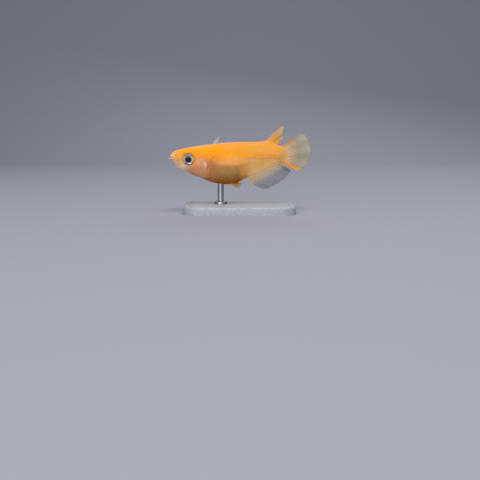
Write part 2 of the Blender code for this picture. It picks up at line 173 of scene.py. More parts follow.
# The cornea: its share of the eye's radius, its gap over the eyeball and its depth behind
CORNEA_SHARE = 0.97
CORNEA_GAP = 0.02
CORNEA_BACK = 0.1
# The socket, in eye radii from the eye's middle: where the skin's rim starts and ends and where
# the skin falls behind the eye. Then the rim's level, its swelling and the fall, in millimetres
SOCKET_EDGE = 1.02
SOCKET_REACH = 1.35
SOCKET_FALL = (1.06, 0.82)
SOCKET_RIM = 0.03
SOCKET_SWELLING = 0.06
SOCKET_DEPTH = 0.75
SOCKET_BACK = -1.2
# Each nostril's place and radius, then their depth and the width of their wall, their raised rim as
# height, place and width, and their reach. All but depth and height are in radii
NOSTRILS = (((2.35, 2.10), 0.17), ((2.95, 2.28), 0.13))
NOSTRIL_DEPTH = 0.16
NOSTRIL_WALL = 0.8
NOSTRIL_RIM = (0.035, 1.3, 0.35)
NOSTRIL_REACH = 2.2
# The direction that they face, and how far from the middle of the head they start
NOSTRIL_NORMAL = (-0.25, 0.8, 0.55)
NOSTRIL_SIDE = 0.3

# Low relief. The cheek bone's rear edge as (height, place along it), and the part of the head
# that shows it and how softly it starts below. Then its groove as depth and width, and its ridge as
# height, width and place behind the groove
CHEEK_BONE = ((-3.2, 5.2), (-2.4, 6.3), (-1.2, 6.9), (0.0, 7.1), (1.5, 7.2), (3.0, 7.05))
CHEEK_SPAN = (4.2, 9.6)
CHEEK_HEIGHTS = (-3.4, 2.6)
CHEEK_FADE = 0.8
CHEEK_GROOVE = (0.045, 0.16)
CHEEK_RIDGE = (0.030, 0.22, 0.38)
# The trunk's bands of muscle: where they start and end, and how softly at both, then their pitch,
# height, lean and middle
BAND_SPAN = (10.5, 29.0)
BAND_FADES = (2.0, 2.5)
BAND_PITCH = 0.92
BAND_HEIGHT = 0.008
BAND_LEAN = 0.45
BAND_MIDDLE = 1.45
# The pectoral fins' fleshy base
FIN_BASE_PLACE = (10.85, 0.35)
FIN_BASE_SIZE = (0.75, 0.95)
FIN_BASE_SWELLING = 0.13

# Painted shade in the mouth and the gill slit, over their dark red flesh. The mouth: how dark, how
# far back and how high its skin lies, and how far from its back it darkens. The gill slit: how dark,
# where it shows, and its width behind the cover's edge
MOUTH_PAINTED_SHADE = 0.9
MOUTH_REACH = 2.2
MOUTH_HEIGHTS = (0.45, 1.4)
MOUTH_FADE = (1.25, 0.75)
SLIT_PAINTED_SHADE = 0.32
SLIT_SPAN = (6.9, 10.5)
SLIT_HEIGHTS = (-3.6, 0.9)
SLIT_WIDTH = 0.10

# The fleshy end of the tail
TAIL_ARC_CENTRE = (27.7, 1.42)
TAIL_ARC_RADIUS = 2.42
TAIL_ARC_SPREAD = math.radians(63)
# Up to which share of its radius the arc is followed
TAIL_ARC_USED = 0.98
TAIL_WARP_START = 26.0
# The section whose heights set how far each ring leans
TAIL_SECTION = 29.0
# How far before the arc the tail begins to grow thin, and its share of the width at the arc
TAIL_TAPER = 2.6
TAIL_END_SHARE = 0.22
TAIL_ROUND = 0.3

# Scales: where their first column lies, and how deep their front edges and corners sink
SCALE_START = 7.4
SCALE_SINK = -0.020
SCALE_TUCK = 0.012
# A scale's length behind its middle as a share of the pitch, and in front of it as a share of that
SCALE_REACH = 0.74
SCALE_FRONT = 0.6
SCALE_BREADTH = 0.62
SCALE_STEPS = (5, 6)
# Between which places the scales grow smaller, how far down the side they go, and their gaps to the
# gill cover and the tail fin
SCALE_SHRINK = (12.0, 28.0)
LAST_SCALE_GIRTH = 0.99
SCALE_GILL_GAP = 0.12
SCALE_FIN_GAP = 0.2
# The scales' map: how far they spread up and down in it, and the size of one
SCALE_MAP_SPREAD = 0.48
SCALE_MAP_SIZE = 0.0015

# Fins: the ends of their bases, their outer edges, their rays' bend, how many rays they have, how
# deep their roots lie and how much they ripple
DORSAL_BASE = (24.3, 27.15)
DORSAL_EDGE = ((29.0, 8.95), (29.2, 8.1), (28.8, 7.2), (28.75, 6.5), (29.2, 5.8), (28.6, 5.15))
DORSAL_CURL = (-0.1, 0.0, 0.1)
DORSAL_RAYS = 7
DORSAL_ROOTS = 6
DORSAL_SINK = 0.15
DORSAL_RIPPLE = 0.10
# The low fleshy ridge that carries the dorsal fin: places and heights, and its half width as a
# share of the way round the side
SHEATH = ((23.0, 0.0), (23.7, 0.07), (24.3, 0.28), (24.9, 0.36), (26.2, 0.20), (27.6, 0.0))
SHEATH_WIDTH = 0.11
ANAL_BASE = (19.95, 28.1)
ANAL_EDGE = ((24.3, -7.4), (26.0, -6.8), (27.7, -5.9), (29.1, -4.9), (30.35, -3.65), (31.2, -2.45))
ANAL_CURL = (-0.55, 0.0, -0.40)
ANAL_RAYS = 19
ANAL_SINK = 0.12
ANAL_RIPPLE = 0.12
CAUDAL_EDGE = (
    (33.0, 6.75),
    (34.35, 6.35),
    (35.2, 5.25),
    (35.75, 3.9),
    (35.98, 2.4),
    (35.75, 0.9),
    (35.2, -0.55),
    (34.3, -1.9),
    (32.6, -2.6),
)
CAUDAL_RAYS = 17
CAUDAL_SINK = 0.1
CAUDAL_RIPPLE = 0.16
PECTORAL_BASE = ((10.95, 1.05), (10.6, -0.30))
PECTORAL_EDGES = {
    "left": (-1, ((13.9, 6.8, 2.2), (13.2, 7.4, 0.9), (12.2, 7.2, -0.6))),
    "right": (1, ((12.75, 4.4, 6.15), (12.1, 5.0, 5.6), (11.1, 5.5, 4.8))),
}
PECTORAL_RAYS = 10
PECTORAL_GAP = 0.06
PECTORAL_BOW = (0.2, 0.3)
PELVIC_BASE = ((15.9, 1.05), (16.9, 0.45))
PELVIC_EDGE = ((18.05, 1.45, -6.65), (18.3, 1.2, -6.2), (18.45, 0.85, -5.75))
PELVIC_CURL = (-0.25, 0.0, -0.35)
PELVIC_RAYS = 6
PELVIC_SINK = 0.05
# Inside a fin: how deep its rays' roots start, the membrane's strips between two rays and its
# rows, how uneven its notches are, and its ripples as turns, shift and size
ROOT_SINK = -0.10
WEB_STRIPS = 4
WEB_ROWS = 22
NOTCH_UNEVEN = (0.7, 37.0)
RIPPLES = ((9.0, 0.8, 1.0), (21.0, 0.0, 0.5))
# A ray: its sides and steps, how thin its tip is, and where its stem and forks start and end
RAY_SIDES = 6
RAY_STEPS = 22
RAY_TIP = 0.32
# How nearly the ends of a ray close to a point
RAY_POINT = 0.02
STEM_END = 0.52
FIRST_FORK = (0.5, 0.78)
LAST_FORK = (0.76, 1.0)
# How far the branches part, as a share of the gap between rays, and their radii
FORK_SPREAD = 0.16
FORK_PARTING = (1.7, 0.3)
FORK_RADII = (0.72, 0.5)

# Stand
BASE_SIZE = (28.0, 18.0, 2.0)
BASE_CORNER = 4.0
BASE_EDGE = 0.5
BASE_SEGMENTS = (12, 4)
# The groove in the plate's top, as insets and steps down
GROOVE = ((0.9, 0.0), (0.12, -0.12), (0.16, 0.0), (0.12, 0.12))
ROD_PLACE = 13.2
ROD_RADIUS = 0.75
COLLAR_RADIUS = 1.6
COLLAR_HEIGHT = 0.7
ROD_SINK = 0.35
ROD_ROUND = 0.1
COLLAR_SINK = 0.02
ROD_STEPS = 64
# The rod's profile above its foot and its collar: radius past the rod's, and height past the collar
ROD_NECK = ((0.32, 0.0), (0.12, 0.06), (0.02, 0.22), (0.0, 0.40))
COLLAR_ROUND = ((0.0, -0.15), (-0.05, -0.04), (-0.16, 0.0))

# Picture: what it spans across at the fish, and how far above its middle the fish swims
VIEW_WIDTH = 121.3
FISH_ABOVE_MIDDLE = 1 / 6
VIEW_SHIFT = 0.11

# Studio, in metres: the floor's half width and reach, and the sweep that carries it up behind
FLOOR_REACH = 4.0
SWEEP_START = 0.25
SWEEP_RADIUS = 0.25
SWEEP_STEPS = 12
WALL_HEIGHT = 1.2
# Each light's share of the main light's power, its size and its place
LIGHTS = {
    "top_light": (1.0, (0.34, 0.26), (0.02, -0.10, 0.34)),
    "front_light": (0.92, (0.30, 0.20), (-0.08, -0.36, 0.08)),
    "back_light": (0.28, (0.30, 0.16), (0.08, 0.30, 0.22)),
}
AIR_COLOUR = (0.86, 0.89, 1.0, 1)
AIR_STRENGTH = 0.35


# Curves and the body's surface


def smooth(points, at):
    """Reads a smooth curve through (key, value) points where its key is at."""
    keys = [point[0] for point in points]
    last = len(points) - 1
    first = min(max(bisect_right(keys, at) - 1, 0), last - 1)

    def slope(index):
        before, after = max(index - 1, 0), min(index + 1, last)
        return (points[after][1] - points[before][1]) / (keys[after] - keys[before])

    width = keys[first + 1] - keys[first]
    share = (at - keys[first]) / width
    bend = share * share * (3 - 2 * share)
    leave = share * (1 - share) ** 2 * width * slope(first)
    arrive = share * share * (share - 1) * width * slope(first + 1)
    return points[first][1] * (1 - bend) + points[first + 1][1] * bend + leave + arrive


def clamp(value, low=0.0, high=1.0):
    return min(max(value, low), high)


def ease(value):
    """A soft step from 0 to 1."""
    value = clamp(value)
    return value * value * (3 - 2 * value)


def mix(first, second, share):
    return first + (second - first) * share


def bell(value, middle, width):
    """1 at the middle, falling softly to 0 on both sides."""
    return math.exp(-(((value - middle) / width) ** 2))


def place(along, side, height):
    """A point of the fish, in metres in the shared frame."""
    return Vector((along - LENGTH / 2, side, height + AXIS_HEIGHT)) * MM


def section_point(along, angle):
    """A point of one side's section. The angle is 0 at the back and pi at the underside."""
    up, out = math.cos(angle), math.sin(angle)
    values = {column: smooth(points, along) for column, points in COLUMNS.items()}
    if up > 0:
        rise, power = values[BACK] - values[WIDEST], 2 / values[UPPER]
    else:
        rise, power = values[WIDEST] - values[UNDERSIDE], 2 / values[LOWER]
    side = abs(out) ** power * values[HALF_WIDTH]
    return side, values[WIDEST] + math.copysign(abs(up) ** power, up) * rise


SECTION_STEP = 0.1
SECTION_SAMPLES = 96
GIRTH_STEPS = 80


def even_section(along):
    """One side's section as points that lie evenly from the back to the underside."""
    fine = []
    for index in range(SECTION_SAMPLES + 1):
        angle = math.pi * index / SECTION_SAMPLES
        fine.append(section_point(along, angle))
    reached = [0.0]
    for here, beyond in zip(fine, fine[1:]):
        reached.append(reached[-1] + math.dist(here, beyond))
    points = []
    for index in range(GIRTH_STEPS + 1):
        wanted = reached[-1] * index / GIRTH_STEPS
        first = clamp(bisect_right(reached, wanted) - 1, 0, SECTION_SAMPLES - 1)
        gap = reached[first + 1] - reached[first]
        share = clamp((wanted - reached[first]) / gap)
        points.append([mix(a, b, share) for a, b in zip(fine[first], fine[first + 1])])
    return points


SECTION_COUNT = math.ceil((BODY_END - BODY_START) / SECTION_STEP) + 1
SECTIONS = [even_section(BODY_START + SECTION_STEP * index) for index in range(SECTION_COUNT)]


def surface(along, girth):
    """(side, height) of the plain body. Girth is 0 at the back and 1 at the underside."""
    row = clamp((along - BODY_START) / SECTION_STEP, 0, len(SECTIONS) - 1.001)
    step = clamp(girth * GIRTH_STEPS, 0, GIRTH_STEPS - 0.001)
    first, across = int(row), int(step)
    row, step = row - first, step - across
    point = []
    for axis in range(2):
        here = mix(SECTIONS[first][across][axis], SECTIONS[first][across + 1][axis], step)
        beyond = mix(SECTIONS[first + 1][across][axis], SECTIONS[first + 1][across + 1][axis], step)
        point.append(mix(here, beyond, row))
    return point


# How far to both sides of a point the outward direction is read, and how near to the back and the
# underside it is straight up or down
OUTWARD_STEP = 0.015
STRAIGHT_END = 0.02


def outward(along, girth):
    """The section's outward direction there, as (side, height)."""
    if girth < STRAIGHT_END:
        return 0.0, 1.0
    if girth > 1 - STRAIGHT_END:
        return 0.0, -1.0
    before = surface(along, girth - OUTWARD_STEP)
    after = surface(along, girth + OUTWARD_STEP)
    run = Vector((after[0] - before[0], after[1] - before[1])).normalized()
    return -run.y, run.x


def rise_of(along, height):
    """The height as a share of the body's depth there: 0 at the underside and 1 at the back."""
    low = smooth(COLUMNS[UNDERSIDE], clamp(along, BODY_START, BODY_END))
    high = smooth(COLUMNS[BACK], clamp(along, BODY_START, BODY_END))
    return clamp((height - low) / (high - low))


def gill_edge(girth):
    """Where the gill cover ends, at this girth."""
    return smooth(GILL_EDGE, surface(GILL_RING, girth)[1])


def gill_fade(girth):
    """How open the gill slit is: full on the flank, closed at its top and under the throat."""
    height = surface(GILL_RING, girth)[1]
    closed, full = SLIT_OPENS
    start, end = SLIT_CLOSES
    return ease((closed - height) / (closed - full)) * (1 - ease((girth - start) / (end - start)))


def behind_gill(along, height):
    """How far behind the gill cover's edge this place is in the side view."""
    return along - smooth(GILL_EDGE, clamp(height, GILL_EDGE[0][0], GILL_EDGE[-1][0]))


def before_tail_end(along, height):
    """How far in front of the arc that ends the fleshy tail this place is."""
    most = TAIL_ARC_USED * TAIL_ARC_RADIUS
    rise = clamp(height - TAIL_ARC_CENTRE[1], -most, most)
    return TAIL_ARC_CENTRE[0] + math.sqrt(TAIL_ARC_RADIUS**2 - rise**2) - along


# Meshes and objects


def to_object(bm, name, finishes, nodes=()):
    """Turns a bmesh into a finished piece that rides on the frame's one body."""
    bmesh.ops.recalc_face_normals(bm, faces=bm.faces)
    mesh = bpy.data.meshes.new(name)
    bm.to_mesh(mesh)
    bm.free()
    mesh.shade_smooth()
    for finish in finishes:
        mesh.materials.append(finish)
    made = bpy.data.objects.new(name, mesh)
    bpy.context.scene.collection.objects.link(made)
    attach(made, "root")
    if nodes:
        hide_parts(*nodes)
    return made


def bevel(bm, edges, width, segments):
    bmesh.ops.bevel(
        bm,
        geom=edges,
        offset=width * MM,
        segments=segments,
        profile=0.5,
        affect="EDGES",
        material=-1,
    )


# Materials


class Finish:
    """A material under construction: its node tree, its shader and short ways to add nodes."""

    def __init__(self, name):
        self.material = bpy.data.materials.new(name)
        self.material.use_nodes = True
        self.tree = self.material.node_tree
        self.shader = self.tree.nodes["Principled BSDF"]

    def set(self, socket, value):
        """Sets a socket of the shader, or links it."""
        self.plug(self.shader.inputs[socket], value)

    def plug(self, socket, value):
        if isinstance(value, bpy.types.NodeSocket):
            self.tree.links.new(value, socket)
        elif socket.type == "RGBA" and len(value) == 3:
            socket.default_value = (*value, 1)
        else:
            socket.default_value = value

    def math(self, operation, first, second=0.0, third=0.0):
        made = self.tree.nodes.new("ShaderNodeMath")
        made.operation = operation
        for socket, value in zip(made.inputs, (first, second, third)):
            self.plug(socket, value)
        return made.outputs[0]

    def step(self, value, low, high, smoothly=True):
        """0 below low and 1 above high, with a soft step between. High may be the lower one."""
        made = self.tree.nodes.new("ShaderNodeMapRange")
        made.interpolation_type = "SMOOTHSTEP" if smoothly else "LINEAR"
        flip = high < low
        self.plug(made.inputs["Value"], value)
        made.inputs["From Min"].default_value = min(low, high)
        made.inputs["From Max"].default_value = max(low, high)
        made.inputs["To Min"].default_value = 1.0 if flip else 0.0
        made.inputs["To Max"].default_value = 0.0 if flip else 1.0
        return made.outputs["Result"]

    def blend(self, under, over, share):
        made = self.tree.nodes.new("ShaderNodeMix")
        made.data_type = "RGBA"
        self.plug(made.inputs["Factor"], share)
        self.plug(made.inputs[6], under)
        self.plug(made.inputs[7], over)
        return made.outputs[2]

    def ramp(self, value, stops):
        made = self.tree.nodes.new("ShaderNodeValToRGB")
        self.plug(made.inputs[0], value)
        elements = made.color_ramp.elements
        while len(elements) < len(stops):
            elements.new(1.0)
        for element, (at, colour) in zip(elements, stops):
            element.position = at
            element.color = (*colour, 1)
        return made.outputs["Color"]

    def attribute(self, name):
        made = self.tree.nodes.new("ShaderNodeAttribute")
        made.attribute_name = name
        return made.outputs["Fac"]

    def coordinates(self):
        """Object coordinates, and the place along the fish and the height from them, in mm."""
        made = self.tree.nodes.new("ShaderNodeTexCoord")
        parts = self.tree.nodes.new("ShaderNodeSeparateXYZ")
        self.plug(parts.inputs[0], made.outputs["Object"])
        along = self.math("MULTIPLY_ADD", parts.outputs[0], 1 / MM, LENGTH / 2)
        height = self.math("MULTIPLY_ADD", parts.outputs[2], 1 / MM, -AXIS_HEIGHT)
        return made.outputs["Object"], along, height

    def noise(self, vector, size, detail=3.0, roughness=0.55, stretch=(1, 1, 1)):
        """Noise between 0 and 1 whose features are about this many millimetres."""
        mapping = self.tree.nodes.new("ShaderNodeMapping")
        self.plug(mapping.inputs["Vector"], vector)
        mapping.inputs["Scale"].default_value = [1 / (size * MM * part) for part in stretch]
        made = self.tree.nodes.new("ShaderNodeTexNoise")
        self.plug(made.inputs["Vector"], mapping.outputs[0])
        made.inputs["Scale"].default_value = 1.0
        made.inputs["Detail"].default_value = detail
        made.inputs["Roughness"].default_value = roughness
        return made.outputs["Fac"]

    def blob(self, along, height, centre, radii, soft=0.5):
        """A soft oval spot in the side view: 1 inside it and 0 outside."""
        first = self.math("MULTIPLY_ADD", along, 1 / radii[0], -centre[0] / radii[0])
        second = self.math("MULTIPLY_ADD", height, 1 / radii[1], -centre[1] / radii[1])
        squares = self.math("MULTIPLY_ADD", second, second, self.math("MULTIPLY", first, first))
        return self.step(self.math("SQRT", squares), 1 + soft / 2, 1 - soft / 2)

    def part_of_fin(self, across, out, strength):
        """Marks part of a fin, between these limits across its rays and out along them."""
        share = self.math("MULTIPLY", self.step(self.attribute("across"), *across), strength)
        return self.math("MULTIPLY", share, self.step(self.attribute("out"), *out))

    def bump(self, height, depth, strength=1.0):
        made = self.tree.nodes.new("ShaderNodeBump")
        made.inputs["Distance"].default_value = depth * MM
        made.inputs["Strength"].default_value = strength
        self.plug(made.inputs["Height"], height)
        self.set("Normal", made.outputs["Normal"])


def linear(red, green, blue):
    """A colour given in the 0 to 255 of a screen, as the shader's own scene values."""
    values = []
    for value in (red, green, blue):
        value /= 255
        values.append(value / 12.92 if value <= 0.04045 else ((value + 0.055) / 1.055) ** 2.4)
    return tuple(values)


class Mark(NamedTuple):
    """A soft oval mark of the side view. Soft is the width of its edge as a share of its radii,
    and its colour is left out where the panel gives it."""

    middle: tuple
    radii: tuple
    soft: float
    strength: float = 1.0
    colour: tuple = (0, 0, 0)


NAPE = Mark((8.9, 2.35), (5.4, 2.15), 0.5)
UPPER_SHOULDER = Mark((12.2, 1.15), (4.3, 1.2), 0.6)
DEEP_ORANGE = Mark((8.2, 0.95), (1.9, 0.8), 0.9, 0.6, linear(255, 138, 0))
BRIGHT_LINE = Mark((17.8, 1.5), (4.2, 0.42), 0.9, 0.9, linear(254, 160, 6))
PALE_FLANK = Mark((16.6, 0.0), (3.4, 1.15), 0.8, 0.75, linear(244, 166, 86))
BELLY_STRIPES = Mark((15.6, -3.2), (3.9, 2.3), 0.7, 0.32, linear(132, 102, 54))
VENT = Mark((19.0, -2.9), (0.9, 1.8), 1.7, 0.6, linear(238, 158, 72))
LOW_SHOULDER = Mark((11.0, -2.3), (1.55, 2.8), 1.4, 0.8)
GILL_COVER = Mark((8.3, -1.9), (2.0, 2.9), 0.5, 0.95)
GILL_TOP = Mark((8.2, -0.30), (1.5, 0.95), 1.0, 1.0, linear(244, 172, 130))
GILL_PALE_EDGE = Mark((9.50, -0.95), (0.24, 0.62), 1.4, 0.60, linear(250, 208, 192))
CHEEK = Mark((5.8, -2.0), (1.9, 1.3), 0.7, 0.7)
BEHIND_EYE = Mark((6.7, 0.0), (1.0, 1.5), 0.8, 0.65, linear(240, 150, 58))
CHEEK_FLUSH = Mark((6.5, -2.7), (1.2, 1.2), 0.7, 0.55, linear(206, 112, 84))
JAW = Mark((2.6, -0.75), (1.2, 0.75), 0.9, 0.5, linear(222, 160, 106))
MOUTH_END = Mark((1.55, 0.38), (0.6, 0.32), 0.8, 0.7, linear(244, 160, 88))
TAIL_EDGE = Mark((28.7, -0.45), (1.1, 0.35), 0.9, 0.8, linear(232, 142, 20))
# A pale pink spot on the pectoral fin's base, partly a painted highlight
FIN_BASE = Mark((11.4, 0.2), (0.45, 0.40), 0.9, 0.6, linear(232, 160, 116))

# Where a colour starts and where it is full, along the fish or, as said, up it or across it
TAIL_COLOURS = (17.9, 21.3)
TAIL_END_COLOUR = (27.4, 30.0)
# The pink rim of the back, partly a painted highlight of the top light, and the dark edge and
# bright keel of the belly, as shares of its depth
RIM_AND_SHEEN_RISE = (0.925, 0.965)
RIM_AND_SHEEN_END = (13.0, 10.0)
BELLY_EDGE_RISE = (0.16, 0.05)
BELLY_EDGE_START = (8.6, 10.6)
BELLY_EDGE_END = (20.4, 18.6)
KEEL_RISE = (0.022, 0.004)
# The side line's slope and height, and the brown line this far under it
LINE_SLOPE = -0.014
LINE_HEIGHT = 1.76
LINE_HALF_WIDTH = (0.55, 0.12)
LINE_START = (13.0, 15.5)
LINE_END = (29.0, 26.5)
UNDER_LINE_DROP = 0.80
UNDER_LINE_HALF_WIDTH = (0.50, 0.10)
UNDER_LINE_START = (18.6, 20.4)
UNDER_LINE_END = (30.0, 27.5)
# The chin, the snout and the lips, which slope up with the mouth
CHIN_HEIGHTS = (1.0, -1.4)
CHIN_END = (6.4, 4.0)
SNOUT_END = (3.4, 1.0)
SNOUT_HEIGHTS = (0.4, 1.4)
LIPS_SLOPE = 0.36
LIPS_HEIGHT = 0.36
LIPS_HALF_WIDTH = (0.36, 0.12)
LIPS_END = (2.1, 1.6)
FRECKLES_END = (8.0, 6.5)


class Markings:
    """The fish's colours as they are laid on, each over the ones before it."""

    def __init__(self, finish):
        self.finish = finish
        self.vector, self.along, self.height = finish.coordinates()
        self.rise = finish.attribute("rise")
        self.mottle = finish.noise(self.vector, 0.9, 4)
        self.colour = None

    def along_from(self, start, full):
        return self.finish.step(self.along, start, full)

    def rise_from(self, start, full):
        return self.finish.step(self.rise, start, full)

    def grains(self, size, detail, start, full, stretch=(1, 1, 1)):
        """Patches of noise of this size in millimetres, between these levels."""
        noise = self.finish.noise(self.vector, size, detail, stretch=stretch)
        return self.finish.step(noise, start, full)

    def line(self, slope, height, half_width):
        """A band along the fish, whose middle has this slope and height."""
        middle = self.finish.math("MULTIPLY_ADD", self.along, slope, height)
        away = self.finish.math("SUBTRACT", self.height, middle)
        return self.finish.step(self.finish.math("ABSOLUTE", away), *half_width)

    def oval(self, mark):
        return self.finish.blob(self.along, self.height, mark.middle, mark.radii, mark.soft)

    def lay(self, colour, *masks):
        """Lays a colour where all these masks meet. A plain number is a strength."""
        share = masks[0]
        for mask in masks[1:]:
            share = self.finish.math("MULTIPLY", share, mask)
        self.colour = self.finish.blend(self.colour, colour, share)

    def lay_mark(self, mark, *masks):
        self.lay(mark.colour, self.oval(mark), *masks, mark.strength)


def trunk_colours(colours):
    """The trunk's colours, from the underside at 0 to the back at 1."""
    return (
        (0.00, linear(150, 92, 34)),
        (0.07, linear(160, 104, 48)),
        (0.16, colours.belly_low),
        (0.30, colours.belly),
        (0.44, linear(186, 132, 72)),
        (0.54, linear(238, 160, 84)),
        (0.64, linear(248, 166, 58)),
        (0.78, colours.back),
        (0.93, linear(242, 152, 44)),
        (1.00, linear(250, 162, 88)),
    )


def tail_colours(colours):
    """The tail's colours, from the underside at 0 to the back at 1, lightened low down as painted
    light.
    """
    return (
        # Painted light: the lowest colours are lightened against the shade under the tail
        (0.00, linear(255, 214, 150)),
        (0.12, linear(240, 188, 112)),
        (0.36, colours.lower_flank),
        (0.50, linear(236, 168, 90)),
        (0.62, linear(240, 158, 74)),
        (0.72, linear(234, 164, 64)),
        (0.88, colours.back),
        (1.00, linear(240, 156, 66)),
    )


def fish_colour(finish, colours):
    """The markings that the skin and the scales share, from places on the body."""
    marks = Markings(finish)
    lay_body(finish, marks, colours)
    lay_belly(marks, colours)
    lay_gills(finish, marks, colours)
    lay_face(finish, marks, colours)
    freckles = marks.grains(0.22, 2, 0.70, 0.78)
    marks.lay(linear(120, 70, 40), freckles, marks.along_from(*FRECKLES_END), 0.5)
    marks.lay(linear(150, 92, 30), finish.step(marks.mottle, 0.35, 0.7), 0.10)
    return marks.colour, marks.vector


def lay_body(finish, marks, colours):
    """Back, flanks and tail, the orange nape and the lines along the side."""
    cloud = finish.noise(marks.vector, 3.0, 2)
    uneven = finish.math("MULTIPLY_ADD", cloud, 0.06, -0.03)
    level = finish.math("ADD", marks.rise, uneven)
    marks.colour = finish.ramp(level, trunk_colours(colours))
    marks.lay(finish.ramp(level, tail_colours(colours)), marks.along_from(*TAIL_COLOURS))
    marks.lay(colours.tail_end, marks.along_from(*TAIL_END_COLOUR), 0.8)
    nape = finish.math("MAXIMUM", marks.oval(NAPE), marks.oval(UPPER_SHOULDER))
    marks.lay(colours.orange, nape)
    marks.lay_mark(DEEP_ORANGE)
    # The pinkish rim along the top of the head and nape, partly a painted highlight of the top light
    marks.lay(colours.rim, marks.rise_from(*RIM_AND_SHEEN_RISE), marks.along_from(*RIM_AND_SHEEN_END), 0.85)

    side_line = marks.line(LINE_SLOPE, LINE_HEIGHT, LINE_HALF_WIDTH)
    ends = marks.along_from(*LINE_START), marks.along_from(*LINE_END)
    marks.lay(colours.line, side_line, *ends, 0.85)
    marks.lay_mark(BRIGHT_LINE)
    under = marks.line(LINE_SLOPE, LINE_HEIGHT - UNDER_LINE_DROP, UNDER_LINE_HALF_WIDTH)
    ends = marks.along_from(*UNDER_LINE_START), marks.along_from(*UNDER_LINE_END)
    marks.lay(linear(214, 132, 66), under, *ends, 0.45)
    marks.lay_mark(PALE_FLANK)


def lay_belly(marks, colours):
    """The belly's faint stripes, its dark edge and bright keel, and the vent and shoulder."""
    marks.lay_mark(BELLY_STRIPES, marks.grains(0.55, 2, 0.42, 0.62, stretch=(0.35, 1.0, 2.2)))
    edge = (
        marks.rise_from(*BELLY_EDGE_RISE),
        marks.along_from(*BELLY_EDGE_START),
        marks.along_from(*BELLY_EDGE_END),
    )
    marks.lay(colours.belly_edge, *edge, 0.9)
    marks.lay(linear(240, 140, 30), *edge, marks.rise_from(*KEEL_RISE))
    marks.lay_mark(VENT)
    marks.lay_mark(LOW_SHOULDER._replace(colour=colours.shoulder))


def lay_gills(finish, marks, colours):
    """The gill cover: pinkish beige with red and pale patches and a pale rear edge."""
    cover = marks.oval(GILL_COVER)
    marks.lay(colours.gill, cover, GILL_COVER.strength)
    marks.lay(linear(212, 128, 94), cover, finish.step(marks.mottle, 0.50, 0.68), 0.7)
    marks.lay(linear(232, 186, 170), cover, marks.grains(0.6, 3, 0.60, 0.72), 0.55)
    patches = finish.math("MULTIPLY_ADD", marks.grains(0.7, 3, 0.40, 0.60), 0.52, 0.15)
    marks.lay_mark(GILL_TOP, patches)
    marks.lay_mark(GILL_PALE_EDGE)


def lay_face(finish, marks, colours):
    """Chin, cheek, jaw, snout and lips, and the small marks at the tail and the fin's base, this one
    partly a painted highlight.
    """
    chin = finish.step(marks.height, *CHIN_HEIGHTS)
    marks.lay(colours.chin, chin, marks.along_from(*CHIN_END), 0.95)
    marks.lay_mark(CHEEK._replace(colour=colours.cheek))
    marks.lay_mark(BEHIND_EYE)
    marks.lay_mark(CHEEK_FLUSH, finish.step(marks.mottle, 0.44, 0.62))
    marks.lay_mark(JAW)
    marks.lay_mark(MOUTH_END)
    snout = finish.step(marks.height, *SNOUT_HEIGHTS)
    marks.lay(colours.snout, marks.along_from(*SNOUT_END), snout, 0.8)
    marks.lay_mark(TAIL_EDGE)
    # Partly a painted highlight on the pectoral fin's base
    marks.lay_mark(FIN_BASE)
    lips = marks.line(LIPS_SLOPE, LIPS_HEIGHT, LIPS_HALF_WIDTH)
    marks.lay(colours.lips, lips, marks.along_from(*LIPS_END), 0.8)


# Sizes and colours that a user may change


def colour_property(name, description, red, green, blue):
    return bpy.props.FloatVectorProperty(
        name=name,
        description=description,
        subtype="COLOR",
        size=3,
        min=0.0,
        max=1.0,
        default=linear(red, green, blue),
    )


def size_property(name, description, default):
    return bpy.props.FloatProperty(
        name=name,
        description=description,
        default=default * MM,
        min=0.0,
        unit="LENGTH",
        precision=5,
    )


class RicefishSkin(bpy.types.PropertyGroup):
    """Colours and fineness of the skin and its scales."""

    orange: colour_property("Orange", "Strong orange of the nape and shoulder", 252, 154, 0)
    back: colour_property("Back", "Peach orange of the back", 234, 156, 50)
    # Partly a painted highlight of the top light
    rim: colour_property("Back's edge", "Pinkish line along the very top of the back", 255, 164, 104)
    line: colour_property("Side line", "Orange line along the flank", 246, 152, 8)
    belly: colour_property("Belly", "Olive brown where the belly shows through", 170, 132, 76)
    belly_low: colour_property("Low belly", "Darker olive brown low on the belly", 144, 102, 52)
    belly_edge: colour_property("Belly's edge", "Dark orange band under the belly", 152, 76, 18)
    lower_flank: colour_property("Lower flank", "Beige above the anal fin", 226, 166, 96)
    tail_end: colour_property("Tail's end", "Pale peach where the caudal fin grows", 208, 164, 104)
    gill: colour_property("Gill cover", "Pinkish beige of the gill cover", 196, 142, 100)
    shoulder: colour_property("Shoulder", "Brownish pink behind the gill cover", 182, 112, 66)
    cheek: colour_property("Cheek", "Dull beige under the eye", 208, 148, 110)
    chin: colour_property("Chin", "Pale greyish pink of the chin", 250, 210, 178)
    snout: colour_property("Snout", "Pinkish peach of the snout", 255, 184, 120)
    lips: colour_property("Lips", "Pale pink of the lips", 250, 212, 202)
    # Dark red of the painted shade in the mouth and the gill slit, over their red flesh
    slit: colour_property("Gill slit", "Dark red inside the gill slit", 96, 30, 18)
    around: bpy.props.IntProperty(
        name="Points round", description="Points in each ring of the skin", default=224, min=16
    )


class RicefishScales(bpy.types.PropertyGroup):
    """Sizes of the scales."""

    rows: bpy.props.IntProperty(
        name="Rows", description="Rows of scales from the back to the belly", default=14, min=4
    )
    front: size_property("Pitch at the shoulder", "Distance between scales behind the gills", 0.86)
    rear: size_property("Pitch at the tail", "Distance between scales at the tail", 0.52)
    lift: size_property("Lift", "How far a scale's rear edge stands off the skin", 0.012)
    thickness: size_property("Thickness", "Thickness of a scale", 0.007)


